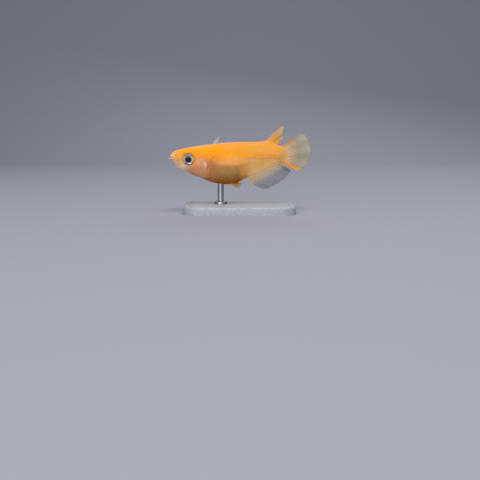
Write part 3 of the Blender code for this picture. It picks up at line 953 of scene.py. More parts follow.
class RicefishEyes(bpy.types.PropertyGroup):
    """Colours of the eyes."""

    pupil: colour_property("Pupil", "Nearly black purple of the pupil", 30, 20, 36)
    silver: colour_property("Iris, top", "Lilac silver of the upper iris", 134, 127, 144)
    olive: colour_property("Iris, front", "Olive of the iris in front of the pupil", 184, 174, 118)
    gold: colour_property("Iris, back", "Yellow of the iris behind the pupil", 196, 182, 104)
    blue: colour_property("Iris, bottom", "Blue of the lower iris", 92, 106, 176)
    # A painted highlight: the bluish white patch under the pupil
    painted_glint: colour_property("Iris, glint", "Bluish white patch under the pupil", 246, 250, 255)
    dark: colour_property("Iris, rim", "Brown line round the eye", 92, 66, 46)


class RicefishFins(bpy.types.PropertyGroup):
    """Sizes and colours of the fins."""

    web: size_property("Membrane", "Thickness of the membrane between the rays", 0.07)
    ray: size_property("Rays", "Radius of a ray at its root", 0.070)
    orange: colour_property("Orange", "Orange of the dorsal fin", 230, 154, 44)
    edge: colour_property("Caudal edge", "Strong orange of the caudal fin's lower edge", 226, 142, 0)
    clear: colour_property("Clear", "Greyish beige of the clear fins", 162, 153, 122)
    pale: colour_property("Rays", "Pale rays of the clear fins", 196, 186, 162)


class RicefishStand(bpy.types.PropertyGroup):
    """Colours of the stand."""

    plate: colour_property("Plate", "Grey of the plate", 150, 153, 160)
    steel: colour_property("Rod", "Grey of the rod", 150, 152, 157)


class RicefishStage(bpy.types.PropertyGroup):
    """Camera, light and floor."""

    distance: size_property("Camera distance", "From the camera to the fish", 168.0)
    height: size_property("Camera height", "Of the camera above the floor", 20.0)
    floor: colour_property("Floor", "Pale grey of the floor and backdrop", 150, 151, 162)
    light: bpy.props.FloatProperty(
        name="Light", description="Power of the main light", default=0.98, min=0.0, unit="POWER"
    )


# The skin


def lip_point(girth, degrees):
    """A point of the lips' rounded rims, which meet at the corners of the mouth."""
    turn = math.pi * min(girth, 1 - girth)
    tip = UPPER_LIP if girth < 0.5 else LOWER_LIP
    back = 1 - math.cos(turn)
    out = math.sin(turn) ** LIP_SQUARENESS
    radius = mix(LIP_RADIUS, LIP_END_RADIUS, (turn / (math.pi / 2)) ** 2)
    split = clamp((0.5 - girth) / CORNER_SPLIT, -1, 1)
    corner = MOUTH_CORNER[2] + math.copysign(LIP_END_RADIUS * CORNER_GAP, split)
    height = mix(tip[1], corner, back)
    height = mix(MOUTH_CORNER[2], height, abs(split))
    angle = math.radians(degrees)
    reach = radius * math.cos(angle)
    along = mix(tip[0], MOUTH_CORNER[0], back) - reach * math.cos(turn)
    side = out * MOUTH_CORNER[1] + reach * math.sin(turn)
    return Vector((along, side, height + radius * math.sin(angle) * split))


def lip_leave(girth, degrees):
    """The direction in which the lip's surface goes on there."""
    here = lip_point(girth, degrees)
    beyond = lip_point(girth, degrees + LIP_STEP)
    return (beyond - here).normalized()


def snout_point(girth, share):
    """A point of the snout or chin between the lip and the plain body."""
    start = lip_point(girth, LIP_PROFILE[-1])
    along = start.x + SNOUT_REACH
    side, height = surface(along, girth)
    end = Vector((along, side, height))
    ahead = Vector((along + SNOUT_STEP, *surface(along + SNOUT_STEP, girth)))
    run = (ahead - end).normalized()
    reach = (end - start).length / 3
    first = start + lip_leave(girth, LIP_PROFILE[-1]) * reach
    second = end - run * reach
    rest = 1 - share
    point = start * rest**3 + first * (3 * rest * rest * share)
    return point + second * (3 * rest * share * share) + end * share**3


def head_point(along, girth):
    """A point of the head, with the gill cover's own swelling."""
    side, height = surface(along, girth)
    share = clamp((along - GILL_FLARE_FROM) / (gill_edge(girth) - GILL_FLARE_FROM))
    out = GILL_FLARE * share**2 * gill_fade(girth)
    away = outward(along, girth)
    return Vector((along, side + away[0] * out, height + away[1] * out))


def sheath(along, girth):
    """How far the dorsal fin's fleshy base raises the back there."""
    rise = smooth(SHEATH, clamp(along, SHEATH[0][0], SHEATH[-1][0]))
    return rise * (1 - ease(girth / SHEATH_WIDTH))


def trunk_point(along, girth, lift=0.0):
    """A point of the trunk or tail, this far off the skin. The tail grows thin towards its fin."""
    side, height = surface(along, girth)
    height += sheath(along, girth)
    width = mix(TAIL_END_SHARE, 1.0, ease(before_tail_end(along, height) / TAIL_TAPER))
    away = outward(along, girth)
    return Vector((along, side * width + away[0] * lift, height + away[1] * lift))


def skin_rings():
    """Every ring of the skin, as a function of its girth, from inside the mouth to the tail."""
    tail_end = TAIL_ARC_CENTRE[0] + TAIL_ARC_RADIUS
    shoulder = GILL_RING + GILL_FOLD[-1][0]
    rings = [partial(mouth_point, share=share) for share in MOUTH_RINGS]
    rings += [partial(lip_point, degrees=degrees) for degrees in LIP_PROFILE]
    rings += [partial(snout_point, share=share) for share in shares(SNOUT_RINGS)]
    rings += [partial(face_point, share=share) for share in shares(FACE_RINGS)]
    for share in shares(COVER_RINGS)[:-1]:
        rings.append(partial(cover_point, ring=mix(GILL_WARP_START, GILL_RING, share)))
    rings += [partial(fold_point, order=order) for order in range(len(GILL_FOLD))]
    for share in shares(SHOULDER_RINGS):
        rings.append(partial(shoulder_point, ring=mix(shoulder, GILL_WARP_END, share)))
    for share in shares(TRUNK_RINGS):
        rings.append(partial(tail_point, ring=mix(GILL_WARP_END, tail_end - TAIL_ROUND, share)))
    for share in TAIL_ROUND_SHARES:
        turn = math.pi / 2 * share
        ring = tail_end - TAIL_ROUND * (1 - math.sin(turn))
        rings.append(partial(tail_point, ring=ring, width=max(math.cos(turn), TAIL_TIP_WIDTH)))
    for share in TAIL_CLOSING_SHARES:
        rings.append(partial(tail_point, ring=tail_end, width=TAIL_TIP_WIDTH, spread=share))
    return rings


def shares(count):
    """Even shares of a stretch, without its start and with its end."""
    return [index / count for index in range(1, count + 1)]


def mouth_point(girth, share):
    """A point inside the mouth, between its back and the lips."""
    return Vector(MOUTH_BACK).lerp(lip_point(girth, LIP_PROFILE[0]), share)


def face_point(girth, share):
    """From the end of the snout's rings back to where the gill cover's rings begin."""
    start = lip_point(girth, LIP_PROFILE[-1]).x + SNOUT_REACH
    return head_point(mix(start, GILL_WARP_START, share), girth)


def cover_point(girth, ring):
    """The gill cover: its rings lean until the last one follows the cover's edge."""
    lean = ease((ring - GILL_WARP_START) / (GILL_RING - GILL_WARP_START))
    return head_point(ring + (gill_edge(girth) - GILL_RING) * lean, girth)


def fold_point(girth, order):
    """The rolled rear edge of the gill cover, the slit under it and the shoulder's start."""
    behind, out = GILL_FOLD[order]
    closed = GILL_FOLD[-1][0] * order / (len(GILL_FOLD) - 1)
    fade = gill_fade(girth)
    edge = gill_edge(girth)
    behind = mix(closed, behind, fade)
    side, height = surface(edge + behind, girth)
    away = outward(edge, girth)
    out *= fade
    return Vector((edge + behind, side + away[0] * out, height + away[1] * out))


def shoulder_point(girth, ring):
    """Behind the gill cover: the rings straighten again towards the trunk."""
    start = GILL_RING + GILL_FOLD[-1][0]
    lean = 1 - ease((ring - start) / (GILL_WARP_END - start))
    return trunk_point(ring + (gill_edge(girth) - GILL_RING) * lean, girth)


def tail_point(girth, ring, width=1.0, spread=1.0):
    """The trunk and tail: the last rings lean until they follow the arc that carries the fin."""
    middle = TAIL_ARC_CENTRE[1]
    tail_end = TAIL_ARC_CENTRE[0] + TAIL_ARC_RADIUS
    lean = ease((ring - TAIL_WARP_START) / (tail_end - TAIL_WARP_START))
    top = TAIL_ARC_RADIUS * math.sin(TAIL_ARC_SPREAD)
    rise = clamp((surface(TAIL_SECTION, girth)[1] - middle) * spread, -top, top)
    arc = math.sqrt(TAIL_ARC_RADIUS**2 - rise**2) - TAIL_ARC_RADIUS
    point = trunk_point(ring + arc * lean, girth)
    return Vector((point.x, point.y * width, middle + (point.z - middle) * spread))


def eye_axes(side):
    """The eye's middle, and the direction in which it looks."""
    look = Vector((-EYE_TURN, side, EYE_TILT)).normalized()
    return Vector((EYE_PLACE[0], side * EYE_PLACE[1], EYE_PLACE[2])), look


def press(point, side):
    """Moves a point of the skin for the eye socket, the nostrils and the head's low relief."""
    centre, look = eye_axes(side)
    offset = point - centre
    out = offset.dot(look)
    spread = (offset - look * out).length / EYE_RADIUS
    if spread < SOCKET_REACH and out > SOCKET_BACK:
        round_rim = clamp((spread - 1.0) / (SOCKET_REACH - 1.0))
        rim = SOCKET_RIM + SOCKET_SWELLING * math.sin(math.pi * round_rim)
        wanted = mix(rim, out, ease((spread - SOCKET_EDGE) / (SOCKET_REACH - SOCKET_EDGE)))
        start, end = SOCKET_FALL
        wanted -= SOCKET_DEPTH * ease((start - spread) / (start - end))
        point = point + look * (wanted - out)
    for (along, height), radius in NOSTRILS:
        away = math.hypot(point.x - along, point.z - height) / radius
        if away < NOSTRIL_REACH and point.y * side > NOSTRIL_SIDE:
            rise, middle, width = NOSTRIL_RIM
            pit = rise * bell(away, middle, width)
            pit -= NOSTRIL_DEPTH * ease((1.0 - away) / NOSTRIL_WALL)
            normal = Vector(NOSTRIL_NORMAL).normalized()
            point = point + Vector((normal.x, normal.y * side, normal.z)) * pit
    return point + Vector((0, side * relief(point.x, point.z), 0))


def relief(along, height):
    """Low bones and muscles: the cheek's ridge, the trunk's bands and the pectoral fin's base."""
    out = 0.0
    foot, top = CHEEK_HEIGHTS
    if CHEEK_SPAN[0] < along < CHEEK_SPAN[1] and foot < height < top:
        groove = smooth(CHEEK_BONE, height)
        fade = ease(top - height) * ease((height - foot) / CHEEK_FADE)
        depth, width = CHEEK_GROOVE
        out -= depth * fade * bell(along, groove, width)
        rise, width, behind = CHEEK_RIDGE
        out += rise * fade * bell(along, groove + behind, width)
    start, end = BAND_SPAN
    if along > start:
        bend = abs(height - BAND_MIDDLE) * BAND_LEAN
        band = math.sin((along + bend) * 2 * math.pi / BAND_PITCH)
        first, last = BAND_FADES
        out += BAND_HEIGHT * band * ease((along - start) / first) * ease((end - along) / last)
    from_fin = math.hypot(
        (along - FIN_BASE_PLACE[0]) / FIN_BASE_SIZE[0],
        (height - FIN_BASE_PLACE[1]) / FIN_BASE_SIZE[1],
    )
    return out + FIN_BASE_SWELLING * (1 - ease(from_fin))


def build_skin(sizes):
    """The whole skin as one closed form: a sphere's rings set to the fish's own."""
    rings = skin_rings()
    tail_end = TAIL_ARC_CENTRE[0] + TAIL_ARC_RADIUS
    bm = bmesh.new()
    rise = bm.verts.layers.float.new("rise")
    bmesh.ops.create_uvsphere(
        bm, u_segments=sizes.around, v_segments=len(rings) + 1, radius=1
    )
    for vert in bm.verts:
        turn = math.acos(clamp(vert.co.z, -1, 1)) / math.pi
        ring = round(turn * (len(rings) + 1)) - 1
        angle = math.atan2(vert.co.y, vert.co.x)
        girth = abs(angle) / math.pi
        side = -1 if angle < 0 else 1
        if ring < 0:
            point = Vector(MOUTH_BACK)
        elif ring == len(rings):
            point = Vector((tail_end, 0, TAIL_ARC_CENTRE[1]))
        else:
            point = rings[ring](girth)
        point.y *= side
        if SNOUT_RINGS + len(LIP_PROFILE) < ring < len(rings):
            point = press(point, side)
        vert[rise] = rise_of(point.x, point.z)
        vert.co = place(*point)
    return bm


def wet(finish, colour, roughness, clearness, depth):
    """Sets the gloss of wet skin, a little see-through to this depth in millimetres."""
    finish.set("Base Color", colour)
    finish.set("Roughness", roughness)
    finish.set("Specular IOR Level", 0.08)
    finish.set("Coat Weight", 0.02)
    finish.set("Coat Roughness", 0.12)
    finish.set("Subsurface Weight", clearness)
    finish.set("Subsurface Radius", (1.0, 0.45, 0.2))
    finish.set("Subsurface Scale", depth * MM)


def skin_finish(colours):
    """Wet, slightly see-through skin with the fish's markings and painted shade in the mouth and the
    gill slit.
    """
    finish = Finish("fish_skin")
    colour, vector = fish_colour(finish, colours)
    # Painted shade: dark red deepening into the mouth and the gill slit
    colour = finish.blend(colour, colours.slit, finish.attribute("inside"))
    wet(finish, colour, roughness=0.40, clearness=0.12, depth=0.6)
    finish.bump(finish.noise(vector, 0.25, 3), 0.02, 0.35)
    return finish.material


class RICEFISH_OT_skin(bpy.types.Operator):
    """Build the skin with its mouth, gill covers and eye sockets"""

    bl_idname = "ricefish.skin"
    bl_label = "Build skin"

    def execute(self, context):
        sizes = context.scene.ricefish_skin
        bm = build_skin(sizes)
        shade_inside(bm)
        nodes = ("head", "lower_jaw", "torso", "tail")
        to_object(bm, "fish_skin", [skin_finish(sizes)], nodes)
        return {"FINISHED"}


def shade_inside(bm):
    """Paints shade into the depth of the mouth and of the gill slit, over their dark red flesh."""
    inside = bm.verts.layers.float.new("inside")
    for vert in bm.verts:
        along = vert.co.x / MM + LENGTH / 2
        side = abs(vert.co.y) / MM
        height = vert.co.z / MM - AXIS_HEIGHT
        vert[inside] = 0.0
        # Painted shade, deepening towards the back of the mouth
        if along < MOUTH_REACH and MOUTH_HEIGHTS[0] < height < MOUTH_HEIGHTS[1]:
            start, end = MOUTH_FADE
            depth = math.dist((along, side, height), MOUTH_BACK)
            vert[inside] = MOUTH_PAINTED_SHADE * ease((start - depth) / (start - end))
        # Painted shade in a band just behind the gill cover's edge
        elif SLIT_SPAN[0] < along < SLIT_SPAN[1]:
            foot, top = SLIT_HEIGHTS
            shown = ease((top - height) / top) * ease(height - foot)
            behind = behind_gill(along, height)
            vert[inside] = SLIT_PAINTED_SHADE * shown * bell(behind, SLIT_WIDTH, SLIT_WIDTH)


# Scales


def scale_rows(sizes):
    """The middle of every scale on one side, as (place along, girth, half length)."""
    scales = []
    along, column = SCALE_START, 0
    while along < BODY_END:
        start, end = SCALE_SHRINK
        pitch = mix(sizes.front, sizes.rear, ease((along - start) / (end - start))) / MM
        reach = pitch * SCALE_REACH
        for row in range(sizes.rows):
            girth = (row + 0.5 + 0.5 * (column % 2)) / sizes.rows
            height = surface(along, girth)[1]
            clear_of_gill = behind_gill(along - reach * SCALE_FRONT, height) > SCALE_GILL_GAP
            clear_of_fin = before_tail_end(along + reach, height) > SCALE_FIN_GAP
            if girth < LAST_SCALE_GIRTH and clear_of_gill and clear_of_fin:
                scales.append((along, girth, reach))
        along += pitch / 2
        column += 1
    return scales


def add_scale(bm, uv, rise, middle, side, rows, lift):
    """One scale: a thin plate, straight in front, round behind, its rear edge a little raised."""
    along, girth, reach = middle
    grid = bmesh.ops.create_grid(bm, x_segments=SCALE_STEPS[0], y_segments=SCALE_STEPS[1], size=1)
    root = ((along - BODY_START) / LENGTH, 0.5 + side * girth * SCALE_MAP_SPREAD)
    for vert in grid["verts"]:
        x, y = vert.co.x, vert.co.y
        back, across = x * SCALE_FRONT, y
        if x > 0:
            back, across = x * math.sqrt(1 - y * y / 2), y * math.sqrt(1 - x * x / 2)
        there = clamp(girth + across * SCALE_BREADTH / rows)
        raised = (back + SCALE_FRONT) / (1 + SCALE_FRONT)
        out = mix(SCALE_SINK, lift, raised) - SCALE_TUCK * across**4 * (1 - raised)
        point = trunk_point(along + back * reach, there, out)
        point.y = side * (point.y + relief(point.x, point.z))
        vert[rise] = rise_of(point.x, point.z)
        for loop in vert.link_loops:
            loop[uv].uv = (root[0] + x * SCALE_MAP_SIZE, root[1] + y * SCALE_MAP_SIZE)
        vert.co = place(*point)


def scale_finish(colours):
    """Scales with the skin's markings, a little glossier than the skin."""
    finish = Finish("fish_scales")
    colour, vector = fish_colour(finish, colours)
    wet(finish, colour, roughness=0.38, clearness=0.10, depth=0.5)
    finish.bump(finish.noise(vector, 0.12, 2), 0.008, 0.3)
    return finish.material


class RICEFISH_OT_scales(bpy.types.Operator):
    """Lay the scales on the trunk and tail"""

    bl_idname = "ricefish.scales"
    bl_label = "Lay scales"

    def execute(self, context):
        sizes = context.scene.ricefish_scales
        finish = scale_finish(context.scene.ricefish_skin)
        for side, hand in ((-1, "left"), (1, "right")):
            bm = bmesh.new()
            uv = bm.loops.layers.uv.new("OFBake")
            rise = bm.verts.layers.float.new("rise")
            for middle in scale_rows(sizes):
                add_scale(bm, uv, rise, middle, side, sizes.rows, sizes.lift / MM)
            bmesh.ops.solidify(bm, geom=bm.faces[:], thickness=sizes.thickness)
            piece = to_object(bm, "fish_scales_" + hand, [finish])
            piece.data.set_sharp_from_angle(angle=math.radians(50))
        return {"FINISHED"}


# Eyes


def build_eye(side):
    """The eyeball with a raised lens and a sunken iris, and a clear cornea over it."""
    centre, look = eye_axes(side)
    turn = Vector((0, 0, 1)).rotation_difference(look).to_matrix()
    around, along = EYE_SEGMENTS
    bm = bmesh.new()
    made = bmesh.ops.create_uvsphere(bm, u_segments=around, v_segments=along, radius=1)
    for vert in made["verts"]:
        spread = math.hypot(vert.co.x, vert.co.y)
        depth = vert.co.z * (EYE_BULGE * EYE_DOME if vert.co.z > 0 else EYE_DEPTH)
        if vert.co.z > 0:
            rise, radius, edge = LENS
            depth += rise * ease((radius - spread) / edge)
            dip, radius, width = IRIS_DIP
            depth -= dip * bell(spread, radius, width)
        vert.co = (vert.co.x * EYE_RADIUS, vert.co.y * EYE_RADIUS, depth)
    made = bmesh.ops.create_uvsphere(bm, u_segments=around, v_segments=along, radius=1)
    for vert in made["verts"]:
        reach = EYE_RADIUS * CORNEA_SHARE
        depth = vert.co.z * (EYE_BULGE + CORNEA_GAP if vert.co.z > 0 else CORNEA_BACK)
        vert.co = (vert.co.x * reach, vert.co.y * reach, depth)
    for vert in made["verts"]:
        for face in vert.link_faces:
            face.material_index = 1
    bmesh.ops.rotate(bm, verts=bm.verts, matrix=turn)
    for vert in bm.verts:
        vert.co = place(*(centre + vert.co))
    return bm


def eye_finish(colours):
    """Pupil and iris: lilac silver above, olive in front, yellow behind, blue below, with a painted
    highlight under the pupil.
    """
    finish = Finish("fish_iris")
    vector, along, height = finish.coordinates()
    behind = finish.math("MULTIPLY_ADD", along, 1 / EYE_RADIUS, -EYE_PLACE[0] / EYE_RADIUS)
    above = finish.math("MULTIPLY_ADD", height, 1 / EYE_RADIUS, -EYE_PLACE[2] / EYE_RADIUS)
    squares = finish.math("MULTIPLY_ADD", above, above, finish.math("MULTIPLY", behind, behind))
    spread = finish.math("SQRT", squares)
    colour = finish.blend(colours.olive, colours.gold, finish.step(behind, *IRIS_GOLD))
    colour = finish.blend(colour, colours.silver, finish.step(above, *IRIS_SILVER))
    colour = finish.blend(colour, colours.blue, finish.step(above, *IRIS_BLUE))
    # A painted highlight: a bluish white patch under the pupil
    painted_glint = (EYE_PLACE[0] + PAINTED_GLINT_PLACE[0], EYE_PLACE[2] + PAINTED_GLINT_PLACE[1])
    colour = finish.blend(colour, colours.painted_glint, finish.blob(along, height, painted_glint, PAINTED_GLINT_SIZE, 0.6))
    grain = finish.noise(vector, 0.16, 4)
    dark_grain = finish.math("MULTIPLY", finish.step(grain, 0.50, 0.70), 0.28)
    colour = finish.blend(colour, colours.dark, dark_grain)
    from_ring = finish.math("ABSOLUTE", finish.math("SUBTRACT", spread, PUPIL_RING))
    ring = finish.step(from_ring, *PUPIL_RING_HALF_WIDTH)
    colour = finish.blend(colour, linear(206, 190, 140), finish.math("MULTIPLY", ring, 0.4))
    colour = finish.blend(colour, colours.pupil, finish.step(spread, *PUPIL_EDGE))
    rim = finish.step(finish.math("MULTIPLY_ADD", above, -0.06, spread), *IRIS_RIM)
    colour = finish.blend(colour, colours.dark, finish.math("MULTIPLY", rim, 0.8))
    finish.set("Base Color", colour)
    finish.set("Roughness", 0.35)
    finish.set("Specular IOR Level", 0.15)
    finish.bump(grain, 0.02, 0.3)
    return finish.material


def cornea_finish():
    finish = Finish("fish_cornea")
    vector = finish.coordinates()[0]
    finish.set("Base Color", (0.0, 0.0, 0.0))
    finish.set("Roughness", 0.04)
    finish.set("Alpha", 0.06)
    finish.set("Specular IOR Level", 1.0)
    finish.bump(finish.noise(vector, 1.2, 1), 0.01, 0.2)
    return finish.material


class RICEFISH_OT_eyes(bpy.types.Operator):
    """Build both eyes"""

    bl_idname = "ricefish.eyes"
    bl_label = "Build eyes"

    def execute(self, context):
        finishes = [eye_finish(context.scene.ricefish_eyes), cornea_finish()]
        for side, hand in ((-1, "left"), (1, "right")):
            to_object(build_eye(side), "fish_eye_" + hand, finishes, ["eye_" + hand])
        return {"FINISHED"}


# Fins


class Fin:
    """A fin's surface: the roots and tips of its rays, joined by smooth curves."""

    def __init__(self, roots, tips, rays, curve=(0, 0, 0), bow=(0, 0, 0), ripple=0.0):
        self.roots, self.tips, self.rays = roots, tips, rays
        self.curve, self.bow, self.ripple = Vector(curve), Vector(bow), ripple

    def point(self, share, out):
        """A point of the surface, by its share across the rays and from root to tip."""
        root = self.along_line(self.roots, share)
        tip = self.along_line(self.tips, share)
        middle = root.lerp(tip, out)
        middle += self.bow * math.sin(math.pi / 2 * clamp(out, 0, 1.2)) ** 2
        middle += self.curve * math.sin(math.pi * clamp(out)) * (1 - share) ** 1.5
        wave = sum(size * math.sin(share * turns + shift) for turns, shift, size in RIPPLES)
        middle.y += self.ripple * wave * clamp(out) ** 1.5
        return middle

    def along_line(self, line, share):
        last = len(line) - 1
        values = []
        for axis in range(3):
            points = [(index / last, point[axis]) for index, point in enumerate(line)]
            values.append(smooth(points, share))
        return Vector(values)


def add_web(bm, out_layer, edge_layer, fin, thickness, notch):
    """The membrane: a fine sheet with an outer edge that dips between the rays."""
    strips = (fin.rays - 1) * WEB_STRIPS
    grid = bmesh.ops.create_grid(bm, x_segments=strips, y_segments=WEB_ROWS, size=0.5)
    for vert in grid["verts"]:
        share, row = vert.co.x + 0.5, vert.co.y + 0.5
        dip = math.sin(math.pi * share * (fin.rays - 1)) ** 2
        uneven, turns = NOTCH_UNEVEN
        reach = 1 - notch * dip * (1 + uneven * math.sin(share * turns))
        out = mix(ROOT_SINK, reach, row)
        vert[out_layer] = clamp(out)
        vert[edge_layer] = share
        vert.co = place(*fin.point(share, out))
    faces = list({face for vert in grid["verts"] for face in vert.link_faces})
    bmesh.ops.recalc_face_normals(bm, faces=faces)
    bmesh.ops.solidify(bm, geom=faces, thickness=thickness)


def add_ray(bm, out_layer, edge_layer, path, radii, shares):
    """A thin tube through these points: a grid rolled up and closed at both ends."""
    steps = len(path) - 1
    grid = bmesh.ops.create_grid(bm, x_segments=RAY_SIDES, y_segments=steps, size=0.5)
    for vert in grid["verts"]:
        turn = 2 * math.pi * (vert.co.x + 0.5)
        index = round((vert.co.y + 0.5) * steps)
        before, after = path[max(index - 1, 0)], path[min(index + 1, steps)]
        run = (after - before).normalized()
        across = run.cross(Vector((0, 1, 0.05))).normalized()
        other = run.cross(across)
        radius = radii[index]
        if index in (0, steps):
            radius *= RAY_POINT
        spot = path[index] + across * math.cos(turn) * radius + other * math.sin(turn) * radius
        vert[out_layer] = clamp(shares[index][1])
        vert[edge_layer] = shares[index][0]
        vert.co = place(*spot)
    for face in {face for vert in grid["verts"] for face in vert.link_faces}:
        face.material_index = 1
    bmesh.ops.remove_doubles(bm, verts=grid["verts"], dist=0.0004 * MM)


def ray_parts(gap, forks):
    """A ray's stem and branches: start, end, place beside the ray at both, and size of each."""
    if forks == 0:
        return [(ROOT_SINK, 1.0, 0.0, 0.0, 1.0)]
    parts = [(ROOT_SINK, STEM_END, 0.0, 0.0, 1.0)]
    start, end = FIRST_FORK
    first, last = FORK_RADII
    for hand in (-1, 1):
        wide = hand * FORK_SPREAD * gap
        parts.append((start, end if forks > 1 else 1.0, 0.0, wide, first))
        if forks > 1:
            for parting in FORK_PARTING:
                parts.append((*LAST_FORK, wide, wide * parting, last))
    return parts


def add_rays(bm, out_layer, edge_layer, fin, radius, forks, reach, outer):
    """Every ray: a stem, and branches that part from each other towards the edge."""
    gap = 1 / (fin.rays - 1)
    for ray in range(fin.rays):
        at_edge = ray in (0, fin.rays - 1)
        stout = outer if at_edge or forks == 0 else 1.0
        for start, end, offset, far_offset, size in ray_parts(gap, 0 if at_edge else forks):
            steps = max(round((end - start) * RAY_STEPS), 5)
            tip = reach if end == 1.0 else 0.0
            path, radii, shares = [], [], []
            for index in range(steps + 1):
                share = index / steps
                out = mix(start, end + tip, share)
                across = clamp(ray * gap + mix(offset, far_offset, ease(share)))
                path.append(fin.point(across, out))
                radii.append(radius / MM * size * stout * mix(1.0, RAY_TIP, clamp(out)))
                shares.append((across, out))
            add_ray(bm, out_layer, edge_layer, path, radii, shares)


def build_fin(fin, sizes, notch=0.03, forks=2, reach=0.02, stout=1.0, outer=1.0):
    bm = bmesh.new()
    out_layer = bm.verts.layers.float.new("out")
    edge_layer = bm.verts.layers.float.new("across")
    add_web(bm, out_layer, edge_layer, fin, sizes.web, notch)
    add_rays(bm, out_layer, edge_layer, fin, sizes.ray * stout, forks, reach, outer)
    return bm


def side_line(points):
    return [(along, 0.0, height) for along, height in points]


def spread_line(ends, count):
    """Evenly spaced rows between two points of any length."""
    rows = []
    for index in range(count):
        share = index / (count - 1)
        rows.append(tuple(mix(first, last, share) for first, last in zip(*ends)))
    return rows


def dorsal_fin():
    roots = []
    for (along,) in spread_line(((DORSAL_BASE[0],), (DORSAL_BASE[1],)), DORSAL_ROOTS):
        roots.append((along, 0.0, smooth(COLUMNS[BACK], along) - DORSAL_SINK))
    tips = side_line(DORSAL_EDGE)
    return Fin(roots, tips, DORSAL_RAYS, curve=DORSAL_CURL, ripple=DORSAL_RIPPLE)


def anal_fin():
    roots = []
    for (along,) in spread_line(((ANAL_BASE[0],), (ANAL_BASE[1],)), ANAL_RAYS):
        roots.append((along, 0.0, smooth(COLUMNS[UNDERSIDE], along) + ANAL_SINK))
    tips = side_line(ANAL_EDGE)
    return Fin(roots, tips, ANAL_RAYS, curve=ANAL_CURL, ripple=ANAL_RIPPLE)


def caudal_fin():
    roots = []
    for index in range(CAUDAL_RAYS):
        angle = TAIL_ARC_SPREAD * (1 - 2 * index / (CAUDAL_RAYS - 1))
        reach = TAIL_ARC_RADIUS - CAUDAL_SINK
        along = TAIL_ARC_CENTRE[0] + reach * math.cos(angle)
        roots.append((along, 0.0, TAIL_ARC_CENTRE[1] + reach * math.sin(angle)))
    return Fin(roots, side_line(CAUDAL_EDGE), CAUDAL_RAYS, ripple=CAUDAL_RIPPLE)


# How finely the flank's width and the underside are looked for
HALVINGS = 24
UNDERSIDE_STEP = 0.002


def flank(along, height):
    """Half the body's width at this height."""
    low, high = 0.0, 1.0
    for _ in range(HALVINGS):
        middle = (low + high) / 2
        if surface(along, middle)[1] > height:
            low = middle
        else:
            high = middle
    return surface(along, low)[0]


def pectoral_fin(hand):
    side, edge = PECTORAL_EDGES[hand]
    roots = []
    for along, height in spread_line(PECTORAL_BASE, PECTORAL_RAYS):
        roots.append((along, side * (flank(along, height) + PECTORAL_GAP), height))
    tips = [(along, side * out, height) for along, out, height in edge]
    back, out = PECTORAL_BOW
    return Fin(roots, tips, PECTORAL_RAYS, bow=(back, side * out, 0))


def underside(along, out):
    """The height of the body's underside, this far out from its middle."""
    girth = 1.0
    while surface(along, girth)[0] < out:
        girth -= UNDERSIDE_STEP
    return surface(along, girth)[1]


def pelvic_fin(side):
    roots = []
    for along, out in spread_line(PELVIC_BASE, PELVIC_RAYS):
        roots.append((along, side * out, underside(along, out) + PELVIC_SINK))
    tips = [(along, side * out, height) for along, out, height in PELVIC_EDGE]
    return Fin(roots, tips, PELVIC_RAYS, curve=PELVIC_CURL)


class Patch(NamedTuple):
    """A coloured part of a fin: where it starts and is full across the rays and along them."""

    colour: tuple
    across: tuple
    out: tuple
    strength: float


# Where the colours of a membrane and of its rays lie, from the body to the edge
WEB_STOPS = (0.05, 0.60, 0.98)
RAY_STOPS = (0.15, 0.60, 0.98)
RAY_JOINTS = 240.0
# How far streaks shift the membrane's colours along the fin
STREAKS = 0.18

DORSAL_FRONT = Patch(linear(232, 158, 112), (0.13, 0.04), (1.2, 0.95), 0.7)
ANAL_FRONT = Patch(linear(206, 174, 76), (0.34, 0.05), (0.60, 0.0), 0.5)
ANAL_REAR = Patch(linear(88, 74, 82), (0.80, 0.92), (1.2, 0.8), 0.6)
CAUDAL_TOP = Patch(linear(222, 142, 40), (0.13, 0.05), (0.85, 0.40), 0.85)
CAUDAL_CORNER = Patch(linear(206, 184, 80), (0.87, 0.93), (1.2, 0.9), 0.8)
CAUDAL_FOOT_ACROSS = (0.86, 0.915)
CAUDAL_FOOT_OUT = (0.92, 0.65)

# Each fin's membrane and rays: their colours near the body, beyond it and at the edge
DORSAL_MIDDLE, DORSAL_TIP = linear(206, 146, 44), linear(186, 174, 140)
DORSAL_RAY = linear(226, 172, 92)
ANAL_WEB = (linear(198, 172, 132), linear(100, 97, 107), linear(100, 97, 107))
ANAL_RAY = (linear(222, 190, 136), linear(222, 218, 216), linear(222, 218, 216))
CAUDAL_NEAR, CAUDAL_TIP = linear(184, 146, 106), linear(176, 170, 146)
CAUDAL_RAY_NEAR = linear(236, 200, 160)
NEAR_FIN = (linear(250, 168, 70), linear(246, 180, 112), linear(246, 180, 112))
FAR_FIN = (linear(236, 222, 190), linear(214, 212, 200), linear(196, 194, 202))
PELVIC_WEB = (linear(194, 128, 40), linear(166, 126, 54), linear(158, 142, 90))
PELVIC_RAY_MIDDLE = linear(196, 150, 80)


